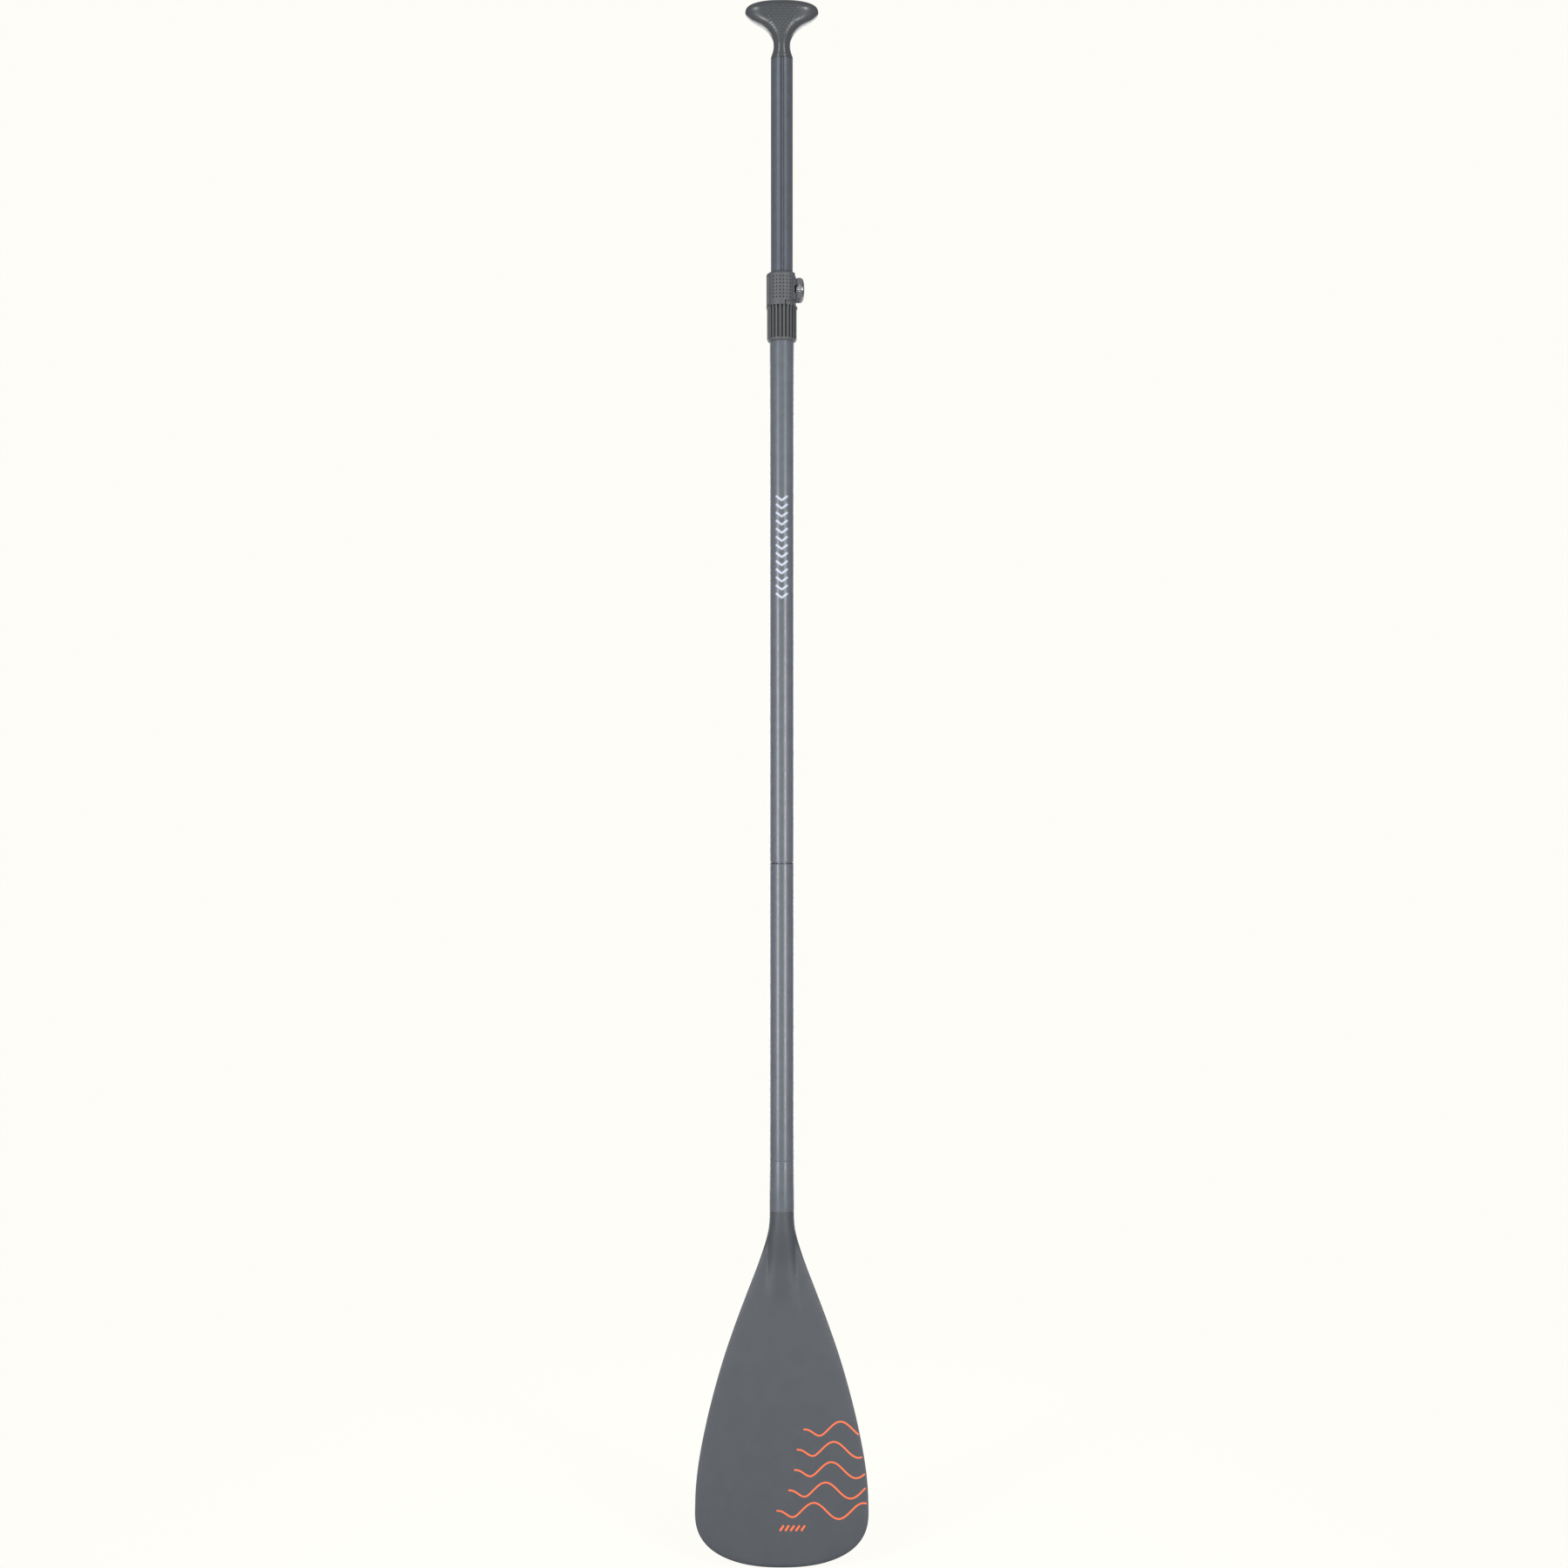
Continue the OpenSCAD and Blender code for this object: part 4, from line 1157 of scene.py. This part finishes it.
def grip_ring(u):
    """The grip's section at a share u of its height from the top, with pips and the mould's seam."""
    x_half, y_half = grip_size(u)
    z = UPPER_HIGH.z + GRIP_H * (1 - u)
    power = 1 - 0.12 * (1 - ease((u - 0.5) / 0.5))
    k = ease((u - 0.92) / 0.08)
    x_half, y_half = (1 - k) * x_half + k * UPPER_R, (1 - k) * y_half + k * UPPER_R
    angles = []
    for middle in (90, 270):
        angles += [middle - 22 + 0.3 * i for i in range(147)]
        angles += [middle + 22 + 136 * i / 52 for i in range(1, 52)]
    ring = []
    for a in angles:
        c, s = math.cos(math.radians(a)), math.sin(math.radians(a))
        x = x_half * math.copysign(abs(c) ** power, c)
        y = y_half * math.copysign(abs(s) ** power, s)
        rise = pip_rise(x, z) if 0.07 < u < 0.7 and abs(s) > 0.4 else 0
        seam = SEAM_HIGH * math.exp(-((y / 0.25) ** 2)) * (1 if 0.1 < u < 0.97 else 0)
        out = Vector((x / x_half ** 2, y / y_half ** 2)).normalized() * (rise + seam)
        ring.append((x + out.x, y + out.y, z))
    return ring


def grip():
    """Rows close together under the crown and over the pips, then the spigot with its notch."""
    shares = [0.06 * (i / 14) ** 2 for i in range(1, 15)]
    shares += between(0.06, 0.7, 150) + between(0.7, 1, 30)
    rows = [grip_ring(u) for u in shares]
    foot = rows[-1]
    spigot = UPPER_BORE / UPPER_R
    for share, z in ((0.985, 0.0), (spigot, 0.0), (spigot, -GRIP_SPIGOT + 1), (spigot * 0.94, -GRIP_SPIGOT)):
        rows.append([(x * share, y * share, UPPER_HIGH.z + z) for x, y, _ in foot])
    piece = skin("grip_body", rows)
    notch = block("notch", (-RIB_HALF - 0.1, -UPPER_R - 1, UPPER_HIGH.z - GRIP_SPIGOT - 1),
                  (RIB_HALF + 0.1, -UPPER_R + KEY_DEEP + RIB_WALL + 0.1, UPPER_HIGH.z - 0.02))
    notch.data.transform(Matrix.Rotation(math.radians(KEY_TURN), 4, "Z"))
    hole = across(rod("hole", RIVET_R, 4, 20, 32), 0, RIVET_Z)
    return combine(piece, [notch, hole], "DIFFERENCE")


place(grip(), GRIP_PLASTIC.made, "upper_section", "grip_plastic", "palm_grip", sharp=55)


# ---------- CAD pieces that keep their shape ----------

KEPT = {
    "foam_plug": FOAM, "button_spring": STEEL, "clamp_liner": LINER_NYLON,
    "end_plug": LINER_NYLON, "glide_ring": GLIDE_PLASTIC,
}
for name, material in KEPT.items():
    node = frame["nodes"][name]
    node.data.materials.clear()
    node.data.materials.append(material.made)


# ---------- floor, world, lights and camera ----------

BACKGROUND = linear(254, 253, 248)
FILL_COLOUR = (0.96, 0.98, 1, 1)
FILL = 0.4
FLOOR_GAP = 0.6
FLOOR_R = 9000
FLOOR_SHARE = 0.07
# The sizes below are in metres
FADE_FROM = 0.2
FADE_TO = 1.3
CAMERA_FAR = 2.6
VIEW_WIDE = 1.8643
VIEW_X = 0.0026
VIEW_Z = 0.2707
SENSOR = 36
# Name, azimuth, distance, height, width, length, watts and upward tilt
LIGHTS = [
    ("left_strip", -38, 1.7, 0.16, 0.3, 1.42, 25, 0),
    ("right_strip", 33, 1.7, 0.16, 0.3, 1.42, 24, 0),
    ("upper_left_strip", -38, 1.7, 1.35, 0.2, 0.7, 1.7, 0),
    ("upper_right_strip", 33, 1.7, 1.35, 0.2, 0.7, 1.7, 0),
    ("left_glint", -41, 1.7, 1.98, 0.1, 0.2, 8, -25),
    ("right_glint", 33, 1.7, 1.98, 0.1, 0.2, 8, -25),
    ("back_left_strip", -152, 2.1, 0.3, 1.2, 1.8, 26, 0),
    ("back_right_strip", 156, 2.1, 0.3, 1.2, 1.8, 26, 0),
]


def floor():
    """A pale floor a little under the blade's tip, which fades into the background away from it."""
    low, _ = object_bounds()
    rim = [polar(FLOOR_R, 360 * k / 96, low.z / MM - FLOOR_GAP) for k in range(96)]
    piece = mesh_object("floor_disc", rim, [tuple(range(96))])
    made = bpy.data.materials.new("floor_paper")
    made.use_nodes = True
    tree = made.node_tree
    tree.nodes.clear()
    where = add_node(tree, "TexCoord").outputs["Object"]
    flat = add_node(tree, "VectorMath", {0: where, 1: (1, 1, 0)}, operation="MULTIPLY").outputs[0]
    far = add_node(tree, "VectorMath", {0: flat}, operation="LENGTH").outputs["Value"]
    fade = {"Value": far, "From Min": FADE_FROM, "From Max": FADE_TO, "To Min": FLOOR_SHARE, "To Max": 0.0}
    share = add_node(tree, "MapRange", fade, interpolation_type="SMOOTHSTEP").outputs[0]
    clear = add_node(tree, "BsdfTransparent").outputs[0]
    paper = add_node(tree, "BsdfDiffuse", {"Color": BACKGROUND}).outputs[0]
    mix = add_node(tree, "MixShader", {0: share, 1: clear, 2: paper}).outputs[0]
    add_node(tree, "OutputMaterial", {"Surface": mix})
    piece.data.materials.append(made)
    piece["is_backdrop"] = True


def world():
    """Near white behind the object, and a softer grey for the light that falls on it."""
    made = bpy.data.worlds.new("studio")
    bpy.context.scene.world = made
    made.use_nodes = True
    tree = made.node_tree
    tree.nodes.clear()
    ray = add_node(tree, "LightPath").outputs["Is Camera Ray"]
    fill = add_node(tree, "Background", {"Color": FILL_COLOUR, "Strength": FILL}).outputs[0]
    seen = add_node(tree, "Background", {"Color": BACKGROUND}).outputs[0]
    mix = add_node(tree, "MixShader", {0: ray, 1: fill, 2: seen}).outputs[0]
    add_node(tree, "OutputWorld", {"Surface": mix})


def strip(name, azimuth, far, z, wide, tall, power, tilt):
    """A soft light that faces the shaft. Azimuth is from the camera's side, to its right."""
    light = bpy.data.lights.new(name, "AREA")
    light.shape = "RECTANGLE"
    light.size = wide
    light.size_y = tall
    light.energy = power
    made = bpy.data.objects.new(name, light)
    bpy.context.collection.objects.link(made)
    a = math.radians(azimuth)
    made.location = (far * math.sin(a), -far * math.cos(a), z)
    aim = Vector((-math.sin(a), math.cos(a), math.tan(math.radians(tilt))))
    made.rotation_euler = aim.to_track_quat("-Z", "Y").to_euler()
    made.visible_camera = False


def camera():
    """A level camera in front of the shaft."""
    data = bpy.data.cameras.new("camera")
    data.sensor_width = SENSOR
    data.lens = SENSOR * CAMERA_FAR / VIEW_WIDE
    made = bpy.data.objects.new("camera", data)
    bpy.context.collection.objects.link(made)
    made.location = (VIEW_X, -CAMERA_FAR, VIEW_Z)
    made.rotation_euler = (math.pi / 2, 0, 0)
    bpy.context.scene.camera = made


floor()
world()
for light in LIGHTS:
    strip(*light)
camera()
bpy.context.scene.view_settings.view_transform = "Standard"
